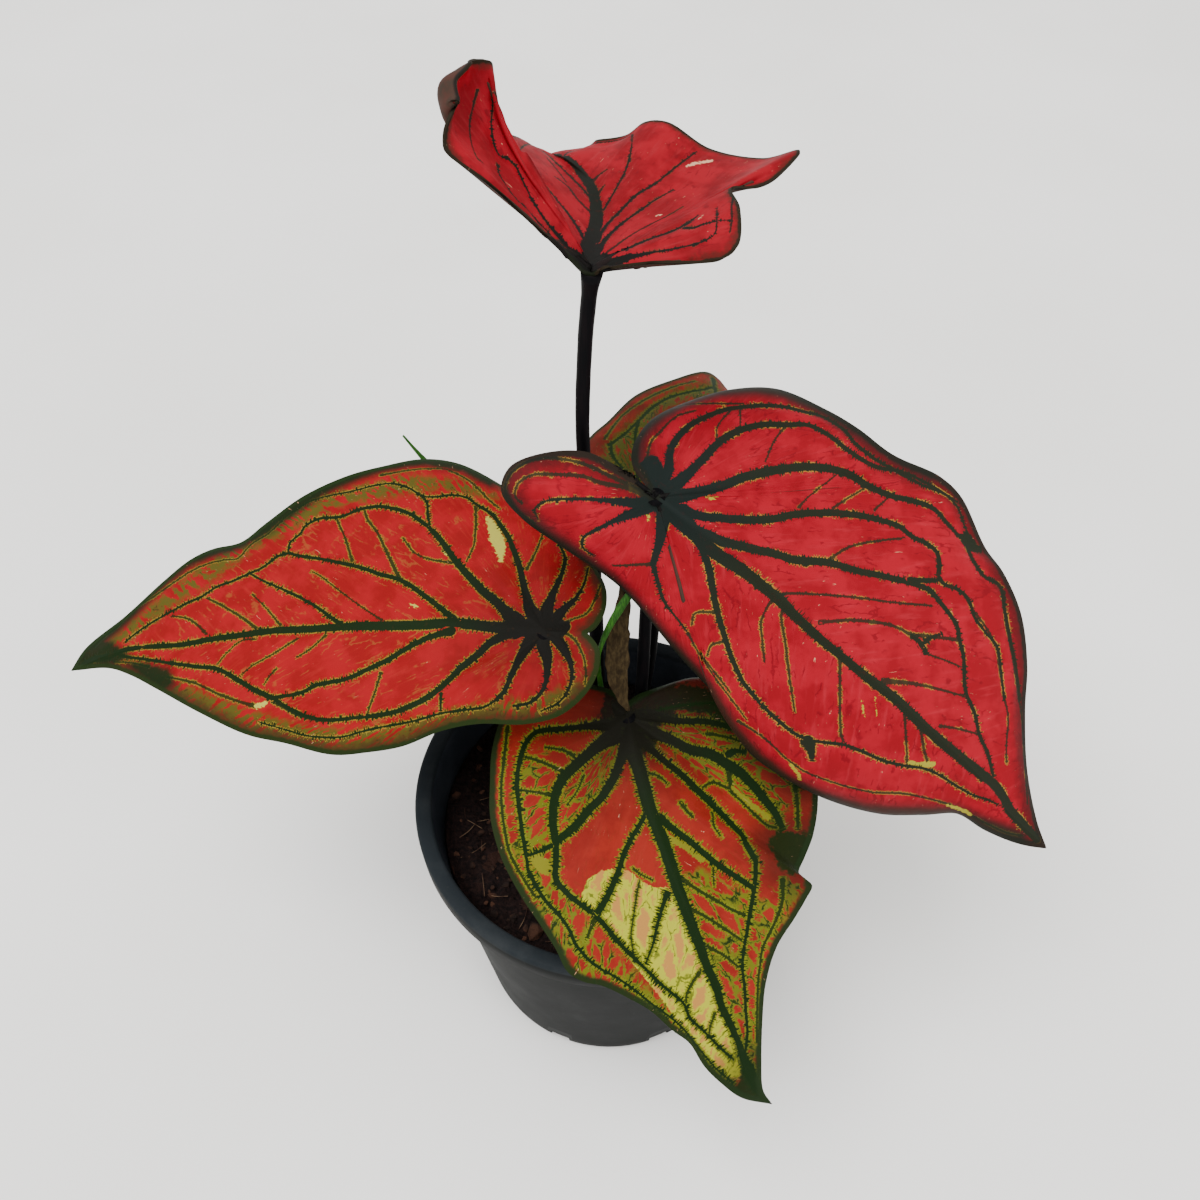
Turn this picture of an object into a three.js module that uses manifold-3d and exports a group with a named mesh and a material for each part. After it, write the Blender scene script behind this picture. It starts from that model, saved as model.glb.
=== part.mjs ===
// Caladium in a nursery pot.
// Millimetres, +Z up. The origin is the middle of the pot's flat base, where it stands.

import * as THREE from 'three';
import { mergeGeometries, mergeVertices } from 'three/addons/utils/BufferGeometryUtils.js';
import Module from 'manifold-3d';

const wasm = await Module();
wasm.setup();

// Pot: a tapered black nursery pot with a folded-over rim
const RIM_RADIUS = 75;
const POT_HEIGHT = 125;
const BASE_RADIUS = 56;
const FLANGE_WIDTH = 6.4;
const FLANGE_THICKNESS = 1.6;
const SKIRT_DEPTH = 10;
const SKIRT_THICKNESS = 1.3;
const WALL = 1.5;
const FLOOR_THICKNESS = 2.2;
const POT_SEGMENTS = 64;
const DRAIN_COUNT = 8;
const DRAIN_WIDTH = 9;
const DRAIN_HEIGHT = 7;
const DRAIN_DEPTH = 14;

// Soil and tuber
const FIT_GAP = 0.3;
const SOIL_LEVEL = 105;
const SOIL_RELIEF = 1.6;
const SOIL_SEGMENTS = 40;
const TUBER_CENTRE = [0, 18];
const TUBER_RADIUS = 21;
const TUBER_TOP = 85.2;
const TUBER_BOTTOM = 59;
const TUBER_SEGMENTS = 20;

// Blades and stalks
const BLADE_THICKNESS = 0.8;
const RIBS = 34;
const FAN_RIBS = 0.45;
const RIB_STEPS = 6;
const RIB_SPREAD = 1.5;
const MIDRIB_SWEEP = 1.15;
const BOW_SCALE = 6.75;
const HEM_WIDTH = 12;
const HEM_TURN = Math.PI / 2;
const STALK_SIDES = 8;
const STALK_STEPS = 22;
const STALK_SPREAD = 1.5;
const STRIP_STEPS = 24;

// The three large blades are drawn in central projection, as seen from SIGHT_POINT looking along +Y and
// down by SIGHT_DROP. The drawing is square, its x runs to the right and its y down, and SIGHT_REACH is
// how far it lies from the eye in its own units.
const SIGHT_POINT = [-4, -236, 519];
const SIGHT_DROP = THREE.MathUtils.degToRad(50);
const SIGHT_REACH = 1178;
const DRAWING_MIDDLE = 600;

// Each blade hangs from its stalk at `at`. Its own frame has X along the midrib to the tip, Y to
// the left of it and Z out of the upper face, turned by heading, pitch and roll in degrees.
// midrib rows are along, across, lift, from the tip to the stalk. The two margins run from the tip
// round their lobe to the notch, with three more columns: the bow of the panel between midrib and
// margin, the angle in degrees that the hem rolls in, and how far the rib leans towards the tip.
// A drawn blade has its place's x and y on the drawing instead of along and across.
// fan is the share of each margin whose ribs leave the midrib; the ribs after it all leave the
// stalk.
const LEAVES = {
  right: {
    at: [14, 33, 250],
    turn: [-31.5, 29, 15],
    fan: { left: 0.44, right: 0.44 },
    drawn: true,
    midrib: [
      [1044, 848, 0], [1004, 808, 4], [975, 772, 7], [931, 733, 10], [880, 685, 12],
      [828, 640, 12], [780, 597, 10], [739, 556, 7], [688, 522, 3], [657, 497, 0],
    ],
    left: [
      [1044, 848, 0], [1037, 820, 0], [1026, 770, 1, 1], [1025, 710, 3, 1], [1026, 665, 5, 2],
      [1020, 615, 8, 2], [1003, 574, 8, 3], [985, 548, 4, 4], [961, 497, 3, 4], [940, 476, 5, 4],
      [890, 454, 9, 3], [857, 428, 8, 3], [825, 409, 3, 4], [776, 390, -3, 5], [735, 391, -7, 5],
      [687, 404, -10, 5], [652, 420, -9, 4], [633, 445, -6, 2], [633, 466, -3, 1], [649, 491, 0],
    ],
    right: [
      [1044, 848, 0], [1020, 843, -2], [985, 829, -6, 1], [955, 813, -12, 2], [920, 813, -18, 4],
      [880, 812, -24, 6], [830, 799, -29, 7], [780, 773, -32, 8], [748, 748, -32, 8], [728, 708, -29, 7],
      [680, 656, -26, 6], [622, 588, -22, 6], [565, 548, -16, 6], [520, 517, -10, 4], [502, 492, -7, 3],
      [510, 468, -5, 3], [545, 454, -2, 2], [587, 452, 1, 1], [620, 468, 2], [649, 491, 0],
    ],
  },
  left: {
    at: [-22.6, 11.7, 207],
    turn: [172.4, 12.9, -12],
    fan: { left: 0.46, right: 0.46 },
    drawn: true,
    midrib: [
      [72, 671, -7], [117, 652, -1], [185, 642, 2], [254, 634, 4], [335, 627, 5],
      [384, 625, 5], [453, 623, 3], [514, 629, 1], [545, 632, 0],
    ],
    left: [
      [72, 671, -7], [109, 669, -4], [132, 676, -3], [155, 688, -3, 1], [200, 713, -4, 1],
      [247, 734, -6, 2], [285, 743, -7, 2], [330, 754, -8, 3], [366, 753, -9, 3], [400, 745, -9, 3],
      [440, 732, -8, 3], [480, 724, -7, 3], [526, 724, -8, 3], [560, 714, -8, 3], [588, 692, -7, 2],
      [600, 668, -4, 1], [598, 648, -1], [587, 634, 0],
    ],
    right: [
      [72, 671, -7], [86, 650, -5], [128, 615, 0], [166, 581, 3], [190, 560, 5],
      [212, 550, 2, 1], [240, 544, 1, 1], [266, 523, 4, 1], [304, 496, 7, 1], [346, 477, 8, 2],
      [384, 466, 7, 3], [423, 460, 4, 4], [457, 465, 1, 4], [500, 487, -1, 4], [550, 522, -4, 4],
      [590, 560, -6, 3], [604, 590, -6, 2], [603, 614, -4, 1], [594, 629, -1], [587, 634, 0],
    ],
  },
  front: {
    at: [6, 6, 165],
    turn: [-66.7, 29.4, 0],
    fan: { left: 0.44, right: 0.44 },
    drawn: true,
    midrib: [
      [771, 1104, -3], [749, 1078, 4], [736, 1041, 9], [719, 987, 13], [695, 924, 14],
      [675, 877, 12], [657, 824, 9], [642, 777, 6], [633, 742, 3], [628, 716, 0],
    ],
    left: [
      [771, 1104, -3], [764, 1091, 0], [762, 1060, 5], [761, 1018, 7], [765, 985, 8],
      [777, 947, 9, 1], [795, 916, 10, 1], [808, 898, 12, 1], [811, 886, 13, 1], [806, 880, 11, 1],
      [798, 872, 7, 2], [804, 856, 5, 2], [813, 836, 5, 2], [817, 805, 8, 2], [814, 770, 8, 3],
      [800, 735, 4, 3], [770, 700, 0, 3], [735, 681, -3, 3], [695, 678, -4, 3], [662, 686, -3, 2],
      [640, 695, -1, 1], [628, 702, 0],
    ],
    right: [
      [771, 1104, -3], [742, 1097, 0], [722, 1085, 2], [704, 1068, 3], [689, 1044, 3, 1],
      [675, 1031, 3, 1], [650, 1012, 3, 1], [628, 997, 3, 2], [604, 986, 4, 2], [583, 980, 6, 2],
      [566, 971, 7, 2], [555, 950, 6, 3], [540, 925, 4, 3], [520, 895, 3, 3], [503, 858, 3, 3],
      [492, 818, 3, 3], [490, 785, 1, 3], [492, 750, -2, 3], [503, 718, -5, 3], [530, 695, -7, 3],
      [565, 683, -6, 2], [598, 686, -3, 1], [618, 694, -1], [628, 702, 0],
    ],
  },
  top: {
    at: [-6.3, 50, 323],
    turn: [90, 0, 0],
    ribs: 50,
    fan: { left: 0.32, right: 0.46 },
    midrib: [
      [108, 14, -38], [98, 17, -27], [84, 17, -13], [65, 10, -1.5],
      [50, 1, -1], [32, -2, -2], [14, -1, -1], [0, 0, 0],
    ],
    left: [
      [108, 14, -38], [98, 22, -25], [86, 22, -9.5], [73, 26, 1], [61, 27.4, 7],
      [55, 27.6, 14, -1], [45, 28.6, 29, -2.5], [36, 28, 38, -4], [28, 27.6, 47, -5],
      [26.5, 31.5, 48, -5, 45], [25, 37.5, 49.5, -4, 95], [22, 42.5, 51.3, -3, 140], [18, 46.3, 51, -2, 165],
      [13, 46.2, 48, -1, 165], [9, 44.4, 44.5, 0, 110], [5, 40.6, 41, 0, 60], [2, 38.8, 38, 0, 20],
      [0.6, 38, 36.4], [-2, 27.5, 29], [-3, 17.4, 18.8], [-3, 9, 9.5], [-2, 2.5, 1], [-2, 0, 0],
    ],
    right: [
      [108, 14, -38], [100, 4, -24, -1], [90, -2, -11, -1], [75, -2, -1.5, -1], [76, -11, -0.5],
      [75, -17, 4.5], [72, -24, 6], [65, -37, 1], [55, -53, 3.2], [45, -62.5, 11.3, 0, 0, 2],
      [36, -55, 8, 0, 0, 5], [31, -49, 8, 0, 0, 6], [27, -41, 10], [12, -42, 12], [1, -41, 8], [-1, -37, 5],
      [-3, -16, 5], [-3, -5, 3], [-2, 0, 0],
    ],
  },
  back: {
    at: [15, 66, 200],
    turn: [50, 10, 0],
    fan: { left: 0.46, right: 0.46 },
    midrib: [
      [160, 6, -66], [148, 7, -50], [130, 6, -26], [108, 3, -8], [85, 1, 2],
      [60, 0, 6], [35, 0, 5], [14, 0, 2], [0, 0, 0],
    ],
    left: [
      [160, 6, -66], [151, 12, -54], [140, 21, -40], [128, 33, -24], [117, 43, -11],
      [111, 47, -3], [104, 50, 2], [84, 54, 4, 1], [60, 56, 5, 2], [40, 54, 2, 2],
      [31, 54, 0, 2], [18, 52, -4, 3], [4, 45, -8, 3], [-10, 35, -10, 3], [-20, 22, -8, 2],
      [-22, 10, -4, 1], [-14, 3, -1], [-4, 0, 0],
    ],
    right: [
      [160, 6, -66], [152, 0, -56], [142, -10, -44], [130, -24, -30], [116, -38, -16, 1],
      [100, -48, -8, 2], [82, -53, -6, 3], [62, -54, -7, 3], [42, -52, -8, 3], [22, -50, -8, 3],
      [4, -44, -9, 3], [-10, -34, -10, 3], [-20, -20, -8, 2], [-22, -9, -4, 1], [-14, -3, -1],
      [-4, 0, 0],
    ],
  },
};

// Leaf stalks: rows are x, y, z and radius, from the tuber to the blade, where each widens
const STALKS = {
  right: [
    [10, 16, 85.5, 3], [10, 16, 100, 3], [10.6, 18, 140, 2.5], [11.6, 21, 172, 2.3], [12.2, 27, 203, 2.2],
    [13.6, 34, 228, 2.1], [14.4, 36.4, 240, 2.2], [14.3, 35.6, 245.5, 2.4], [14, 33, 250, 3],
  ],
  left: [
    [-6, 14, 85.5, 2.8], [-6, 14, 100, 2.8], [-7, 16.5, 130, 2.4], [-9.6, 20, 150, 2.2],
    [-13.4, 22, 168, 2.1], [-19, 17.5, 190, 2], [-21.8, 13.2, 201, 2.1], [-22.6, 11.7, 207, 2.8],
  ],
  front: [
    [3, 9, 85.5, 2.6], [3, 9, 100, 2.6], [5, 8, 135, 2.2], [6, 7.2, 158, 2.1], [6, 6, 165, 2.8],
  ],
  top: [
    [-5, 23, 85.5, 3.2], [-5, 23, 100, 3.2], [-5, 34, 150, 2.8], [-6.5, 46, 212, 2.5], [-9.6, 52, 257, 2.3],
    [-8.6, 52, 295, 2.3], [-7, 50.7, 316, 2.4], [-6.3, 50, 323, 3.3],
  ],
  back: [
    [6, 27, 85.5, 2.8], [6, 27, 100, 2.8], [15, 40, 150, 2.3], [17, 55, 185, 2.1], [15.4, 64, 195, 2.2],
    [15, 66, 200, 2.8],
  ],
};

// Withered leaf: a dry stalk that folds over and hangs as a shrivelled strip.
// Rows are x, y, z, half width, half thickness, fold.
const WITHERED = [
  [2.5, 18, 85.5, 1.3, 1.1, 0], [2.5, 18, 100, 1.3, 1.1, 0], [3, 29, 150, 1.2, 1, 0],
  [4.5, 35, 195, 1.1, 0.9, 0], [5, 34, 213, 1.2, 0.8, 0], [5, 30, 216.5, 1.5, 0.6, 0],
  [4.3, 25, 211, 2.1, 0.5, 0.1], [2.9, 21, 201, 3.4, 0.45, 0.25], [2.1, 15.5, 191, 4.2, 0.45, 0.35],
  [2.4, 10, 182, 3.7, 0.45, 0.4], [4.2, 7, 175.5, 2.1, 0.45, 0.3], [6, 5, 170.5, 0.7, 0.45, 0],
];

// Grass seedlings: one blade bends up past the crown, the other leans out behind. Rows as above.
const GRASS_NEAR = [
  [-3, -2, 88, 0.8, 0.5, 0], [-3, -2, 100, 0.9, 0.5, 0], [-2.6, 6, 130, 1.1, 0.4, 0.2],
  [-2.2, 15, 152, 1.2, 0.4, 0.3], [-4, 19.2, 168, 1, 0.4, 0.3], [-4.6, 15, 186, 0.9, 0.4, 0.2],
  [-3.8, 12.8, 197, 0.8, 0.4, 0.2], [-1, 15, 205, 1.2, 0.4, 0.3], [2.8, 18.5, 211, 1.5, 0.4, 0.3],
  [5.5, 21, 214.5, 1.4, 0.4, 0.3], [8.5, 24.5, 217.5, 0.6, 0.4, 0],
];
const GRASS_FAR = [
  [-16, 24, 88, 0.8, 0.5, 0], [-16, 24, 100, 0.9, 0.5, 0], [-26, 46, 152, 1.2, 0.4, 0.3],
  [-45, 73, 188, 1.3, 0.4, 0.3], [-63, 90, 201, 1.2, 0.4, 0.3], [-72, 96, 208, 0.9, 0.4, 0.2],
  [-79, 100, 216, 0.4, 0.4, 0],
];

const MATERIALS = {
  pot: { color: '#2c3036', roughness: 0.5, metalness: 0 },
  soil: { color: '#2a1c16', roughness: 0.95, metalness: 0 },
  tuber: { color: '#6a4a32', roughness: 0.85, metalness: 0 },
  blade: { color: '#c0302f', roughness: 0.5, metalness: 0 },
  stalk: { color: '#1d1b20', roughness: 0.45, metalness: 0 },
  withered: { color: '#4a3526', roughness: 0.85, metalness: 0 },
  grass: { color: '#3f6b22', roughness: 0.55, metalness: 0 },
};

const vector = (row) => new THREE.Vector3(row[0], row[1], row[2]);

// One welded, indexed copy of a geometry, without the triangles that collapse to a line
function weld(geometry) {
  geometry.deleteAttribute('normal');
  geometry.deleteAttribute('uv');
  const welded = mergeVertices(geometry, 1e-3);
  const kept = [];
  for (let i = 0; i < welded.index.count; i += 3) {
    const corners = [welded.index.getX(i), welded.index.getX(i + 1), welded.index.getX(i + 2)];
    if (new Set(corners).size === 3) {
      kept.push(...corners);
    }
  }
  welded.setIndex(kept);
  return welded;
}

function toSolid(geometry) {
  const welded = weld(geometry.clone());
  return new wasm.Manifold(new wasm.Mesh({
    numProp: 3,
    vertProperties: new Float32Array(welded.attributes.position.array),
    triVerts: new Uint32Array(welded.index.array),
  }));
}

function fromSolid(solid) {
  const mesh = solid.getMesh();
  const geometry = new THREE.BufferGeometry();
  geometry.setAttribute('position', new THREE.BufferAttribute(mesh.vertProperties, 3));
  geometry.setIndex(new THREE.BufferAttribute(mesh.triVerts, 1));
  return geometry;
}

// A smooth route through the rows, followed by its length, that carries their further columns
class Track {
  constructor(rows) {
    this.rows = rows;
    this.curve = new THREE.CatmullRomCurve3(rows.map(vector), false, 'centripetal');
    this.curve.arcLengthDivisions = 400;
  }

  point(u) {
    return this.curve.getPointAt(THREE.MathUtils.clamp(u, 0, 1));
  }

  column(u, index) {
    const k = this.curve.getUtoTmapping(u) * (this.rows.length - 1);
    const i = Math.min(Math.floor(k), this.rows.length - 2);
    const before = this.rows[i][index] ?? 0;
    const after = this.rows[i + 1][index] ?? 0;
    return before + (after - before) * (k - i);
  }
}

// The point of a half blade at s along the margin and t across it, from midrib to margin
function bladePoint(midrib, margin, fan, s, t, up) {
  const share = Math.min(s / fan, 1);
  const root = share < 1 ? midrib.point(share ** MIDRIB_SWEEP) : new THREE.Vector3();
  const rib = margin.point(s).sub(root);
  const length = rib.length();
  if (length < 1e-6) {
    return root;
  }
  rib.normalize();
  const step = 1e-3;
  const along = margin.point(s + step).sub(margin.point(s - step));
  const lift = rib.clone().cross(along).normalize().multiplyScalar(up);
  const curl = THREE.MathUtils.degToRad(margin.column(s, 4));
  const hem = Math.min(HEM_WIDTH * Math.min(curl / HEM_TURN, 1), length / 2);
  const reach = t * length;
  const flat = Math.min(reach, length - hem);
  const point = root.addScaledVector(rib, flat);
  const rest = reach - flat;
  if (rest > 0 && curl > 1e-3) {
    const radius = hem / curl;
    const angle = rest / radius;
    point.addScaledVector(rib, radius * Math.sin(angle));
    point.addScaledVector(lift, radius * (1 - Math.cos(angle)));
  } else {
    point.addScaledVector(rib, rest);
  }
  const swell = BOW_SCALE * t * t * (1 - t);
  point.x += margin.column(s, 5) * swell;
  return point.addScaledVector(lift, margin.column(s, 3) * swell);
}

// The share of the margin that a rib ends at, for its place in the row of ribs
function marginShare(place, fan) {
  if (place < FAN_RIBS) {
    return place / FAN_RIBS * fan;
  }
  return fan + (place - FAN_RIBS) / (1 - FAN_RIBS) * (1 - fan);
}

function place(object, leaf) {
  const [heading, pitch, roll] = leaf.turn.map(THREE.MathUtils.degToRad);
  object.position.set(...leaf.at);
  object.rotation.set(roll, pitch, heading, 'ZYX');
  object.updateMatrix();
  return object;
}

// A midrib or margin in its blade's own frame. A drawn place is where its line of sight meets the
// plane at its lift above the blade's, to the nearest millimetre.
function bladeRows(leaf, edge) {
  if (!leaf.drawn) {
    return leaf[edge];
  }
  const intoLeaf = place(new THREE.Object3D(), leaf).matrix.clone().invert();
  return leaf[edge].map(([x, y, lift, ...columns]) => {
    const way = new THREE.Vector3(x - DRAWING_MIDDLE, DRAWING_MIDDLE - y, -SIGHT_REACH);
    way.applyAxisAngle(new THREE.Vector3(1, 0, 0), Math.PI / 2 - SIGHT_DROP);
    const sight = new THREE.Ray(vector(SIGHT_POINT), way.normalize()).applyMatrix4(intoLeaf);
    const level = new THREE.Plane(new THREE.Vector3(0, 0, 1), -lift);
    const spot = sight.intersectPlane(level, new THREE.Vector3());
    return [Math.round(spot.x), Math.round(spot.y), lift, ...columns];
  });
}

function halfBlade(leaf, side) {
  const midrib = new Track(bladeRows(leaf, 'midrib'));
  const margin = new Track(bladeRows(leaf, side));
  const fan = leaf.fan[side];
  const up = side === 'left' ? 1 : -1;
  const sheet = new THREE.PlaneGeometry(1, 1, leaf.ribs ?? RIBS, RIB_STEPS);
  const position = sheet.attributes.position;
  for (let i = 0; i < position.count; i += 1) {
    const s = marginShare(position.getX(i) + 0.5, fan);
    const t = 1 - (0.5 - position.getY(i)) ** RIB_SPREAD;
    position.setXYZ(i, ...bladePoint(midrib, margin, fan, s, t, up));
  }
  if (up > 0) {
    sheet.setIndex([...sheet.index.array].reverse());
  }
  return sheet;
}

// A closed shell of even thickness about a welded sheet, with the same triangles on both faces
function thicken(sheet, thickness) {
  sheet.computeVertexNormals();
  const middle = sheet.attributes.position;
  const normal = sheet.attributes.normal;
  const count = middle.count;
  const points = [];
  for (const side of [1, -1]) {
    for (let i = 0; i < count; i += 1) {
      const offset = side * thickness / 2;
      points.push(
        middle.getX(i) + normal.getX(i) * offset,
        middle.getY(i) + normal.getY(i) * offset,
        middle.getZ(i) + normal.getZ(i) * offset,
      );
    }
  }
  const faces = [];
  const edges = new Map();
  const index = sheet.index.array;
  for (let i = 0; i < index.length; i += 3) {
    const [a, b, c] = index.slice(i, i + 3);
    faces.push(a, b, c, count + a, count + c, count + b);
    for (const [from, to] of [[a, b], [b, c], [c, a]]) {
      const back = `${to},${from}`;
      if (edges.has(back)) {
        edges.delete(back);
      } else {
        edges.set(`${from},${to}`, [from, to]);
      }
    }
  }
  for (const [from, to] of edges.values()) {
    faces.push(from, count + from, to, to, count + from, count + to);
  }
  const shell = new THREE.BufferGeometry();
  shell.setAttribute('position', new THREE.Float32BufferAttribute(points, 3));
  shell.setIndex(faces);
  return shell;
}

function bladeGeometry(leaf, thickness = BLADE_THICKNESS) {
  const halves = [halfBlade(leaf, 'left'), halfBlade(leaf, 'right')];
  return thicken(weld(mergeGeometries(halves)), thickness);
}

// A straight prism of the section, bent along the rows' route: columns 3, 4 and 5 are its half
// width, half thickness and fold
function sweep(rows, section, steps, spread = 1, grow = 0) {
  const track = new Track(rows);
  const prism = new THREE.ExtrudeGeometry(new THREE.Shape(section), { steps, depth: 1, bevelEnabled: false });
  const position = prism.attributes.position;
  for (let i = 0; i < position.count; i += 1) {
    const u = 1 - THREE.MathUtils.clamp(1 - position.getZ(i), 0, 1) ** spread;
    const tangent = track.curve.getTangentAt(u);
    const across = new THREE.Vector3(1, 0, 0);
    across.addScaledVector(tangent, -across.dot(tangent)).normalize();
    const out = tangent.clone().cross(across);
    const wide = position.getX(i) * (track.column(u, 3) + grow);
    const fold = Math.abs(wide) * track.column(u, 5);
    const deep = position.getY(i) * (track.column(u, 4) + grow) + fold;
    position.setXYZ(i, ...track.point(u).addScaledVector(across, wide).addScaledVector(out, deep));
  }
  return weld(prism);
}

function ring(sides) {
  const corners = [];
  for (let i = 0; i < sides; i += 1) {
    const angle = (2 * Math.PI * (i + 0.5)) / sides;
    corners.push(new THREE.Vector2(Math.cos(angle), Math.sin(angle)));
  }
  return corners;
}

const ROUND = ring(STALK_SIDES);
const FLAT = [[-1, -1], [0, -1], [1, -1], [1, 1], [0, 1], [-1, 1]].map(([x, y]) => new THREE.Vector2(x, y));

function stalk(name, grow = 0) {
  const rows = STALKS[name].map(([x, y, z, radius]) => [x, y, z, radius, radius, 0]);
  return sweep(rows, ROUND, STALK_STEPS, STALK_SPREAD, grow);
}

// The stalk up to the underside of its blade
function petiole(name) {
  const leaf = LEAVES[name];
  const clear = bladeGeometry(leaf, BLADE_THICKNESS + 2 * FIT_GAP);
  clear.applyMatrix4(place(new THREE.Object3D(), leaf).matrix);
  const pieces = toSolid(stalk(name)).subtract(toSolid(clear)).decompose();
  pieces.sort((a, b) => b.volume() - a.volume());
  return fromSolid(pieces[0]);
}

const strip = (rows, grow = 0) => sweep(rows, FLAT, STRIP_STEPS, 1, grow);

function lathe(profile, segments) {
  const geometry = new THREE.LatheGeometry(profile.map(([r, z]) => new THREE.Vector2(r, z)), segments);
  geometry.rotateX(Math.PI / 2);
  return geometry;
}

const OUTER_TOP = RIM_RADIUS - FLANGE_WIDTH + WALL;
const INNER_TOP = RIM_RADIUS - FLANGE_WIDTH;
const BASE_CORNER = 3;
const INNER_CORNER = 4;

function innerRadius(z) {
  const share = (z - INNER_CORNER) / (POT_HEIGHT - INNER_CORNER);
  return THREE.MathUtils.lerp(BASE_RADIUS - WALL, INNER_TOP, share);
}

function potGeometry() {
  const underside = POT_HEIGHT - FLANGE_THICKNESS;
  const skirt = RIM_RADIUS - SKIRT_THICKNESS;
  const body = toSolid(lathe([
    [0, 0],
    [BASE_RADIUS - 6, 0],
    [BASE_RADIUS - 1.4, 0.8],
    [BASE_RADIUS, BASE_CORNER],
    [OUTER_TOP, underside],
    [skirt, underside],
    [skirt - 0.3, POT_HEIGHT - SKIRT_DEPTH],
    [RIM_RADIUS - 0.3, POT_HEIGHT - SKIRT_DEPTH],
    [RIM_RADIUS, POT_HEIGHT - 0.9],
    [RIM_RADIUS - 0.8, POT_HEIGHT],
    [INNER_TOP + 0.9, POT_HEIGHT],
    [INNER_TOP, POT_HEIGHT - 0.9],
    [innerRadius(INNER_CORNER), INNER_CORNER],
    [BASE_RADIUS - 4, FLOOR_THICKNESS],
    [0, FLOOR_THICKNESS],
  ], POT_SEGMENTS));
  const drains = [];
  for (let i = 0; i < DRAIN_COUNT; i += 1) {
    const drain = new THREE.BoxGeometry(DRAIN_DEPTH, DRAIN_WIDTH, DRAIN_HEIGHT * 2);
    drain.translate(BASE_RADIUS - 1, 0, 0);
    drain.rotateZ((2 * Math.PI * (i + 0.5)) / DRAIN_COUNT);
    drains.push(toSolid(drain));
  }
  return fromSolid(drains.reduce((rest, drain) => rest.subtract(drain), body));
}

function tuberProfile(grow) {
  const middle = (TUBER_TOP + TUBER_BOTTOM) / 2;
  return [
    [0, TUBER_BOTTOM - grow],
    [TUBER_RADIUS * 0.55, TUBER_BOTTOM + 1.2 - grow],
    [TUBER_RADIUS * 0.88, TUBER_BOTTOM + 6],
    [TUBER_RADIUS + grow, middle - 1],
    [TUBER_RADIUS + grow, middle + 4],
    [TUBER_RADIUS * 0.9, TUBER_TOP - 3],
    [TUBER_RADIUS * 0.68, TUBER_TOP + grow],
    [0, TUBER_TOP + grow],
  ];
}

function tuberGeometry(grow = 0) {
  const body = lathe(tuberProfile(grow), TUBER_SEGMENTS);
  body.translate(TUBER_CENTRE[0], TUBER_CENTRE[1], 0);
  return body;
}

function soilGeometry() {
  const inset = FIT_GAP + 0.1;
  const floor = FLOOR_THICKNESS + FIT_GAP;
  const shoulder = SOIL_LEVEL - 3;
  const mound = lathe([
    [0, floor],
    [BASE_RADIUS - 5, floor],
    [innerRadius(INNER_CORNER + 1) - inset, INNER_CORNER + 1],
    [innerRadius(shoulder) - inset, shoulder],
    [61, SOIL_LEVEL - 0.5],
    [51, SOIL_LEVEL],
    [39, SOIL_LEVEL],
    [26, SOIL_LEVEL],
    [12, SOIL_LEVEL],
    [0, SOIL_LEVEL],
  ], SOIL_SEGMENTS);
  const position = mound.attributes.position;
  for (let i = 0; i < position.count; i += 1) {
    const [x, y, z] = [position.getX(i), position.getY(i), position.getZ(i)];
    if (z > shoulder + 1) {
      const relief = Math.sin(x * 0.19 + y * 0.07 + 1) + Math.sin(y * 0.23 - x * 0.05) * 0.7;
      position.setZ(i, z + SOIL_RELIEF * 0.6 * relief);
    }
  }
  const holes = Object.keys(STALKS).map((name) => toSolid(stalk(name, FIT_GAP)));
  holes.push(...[WITHERED, GRASS_NEAR, GRASS_FAR].map((rows) => toSolid(strip(rows, FIT_GAP))));
  holes.push(toSolid(tuberGeometry(FIT_GAP)));
  return fromSolid(holes.reduce((rest, hole) => rest.subtract(hole), toSolid(mound)));
}

const plant = new THREE.Group();

function addPiece(name, geometry, material) {
  const mesh = new THREE.Mesh(geometry, new THREE.MeshStandardMaterial(MATERIALS[material]));
  mesh.name = name;
  plant.add(mesh);
  return mesh;
}

addPiece('pot', potGeometry(), 'pot');
addPiece('soil', soilGeometry(), 'soil');
addPiece('tuber', weld(tuberGeometry()), 'tuber');
for (const [name, leaf] of Object.entries(LEAVES)) {
  addPiece(`petiole_${name}`, petiole(name), 'stalk');
  place(addPiece(`blade_${name}`, bladeGeometry(leaf), 'blade'), leaf);
}
addPiece('withered_leaf', strip(WITHERED), 'withered');
addPiece('grass_blade_near', strip(GRASS_NEAR), 'grass');
addPiece('grass_blade_far', strip(GRASS_FAR), 'grass');

export default plant;
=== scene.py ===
# A caladium in its nursery pot: five painted leaves on dark stalks, one dry leaf and two blades of grass.
# Sizes are in millimetres, and MM turns them into metres. +Z is up, the origin is the middle of the pot's
# flat base.

import random
from bisect import bisect_right
from math import atan2, cos, degrees, exp, hypot, inf, pi, radians, sin

import bmesh
import bpy
from mathutils import Euler, Matrix, Vector, noise
from mathutils.bvhtree import BVHTree
from mathutils.kdtree import KDTree


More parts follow.
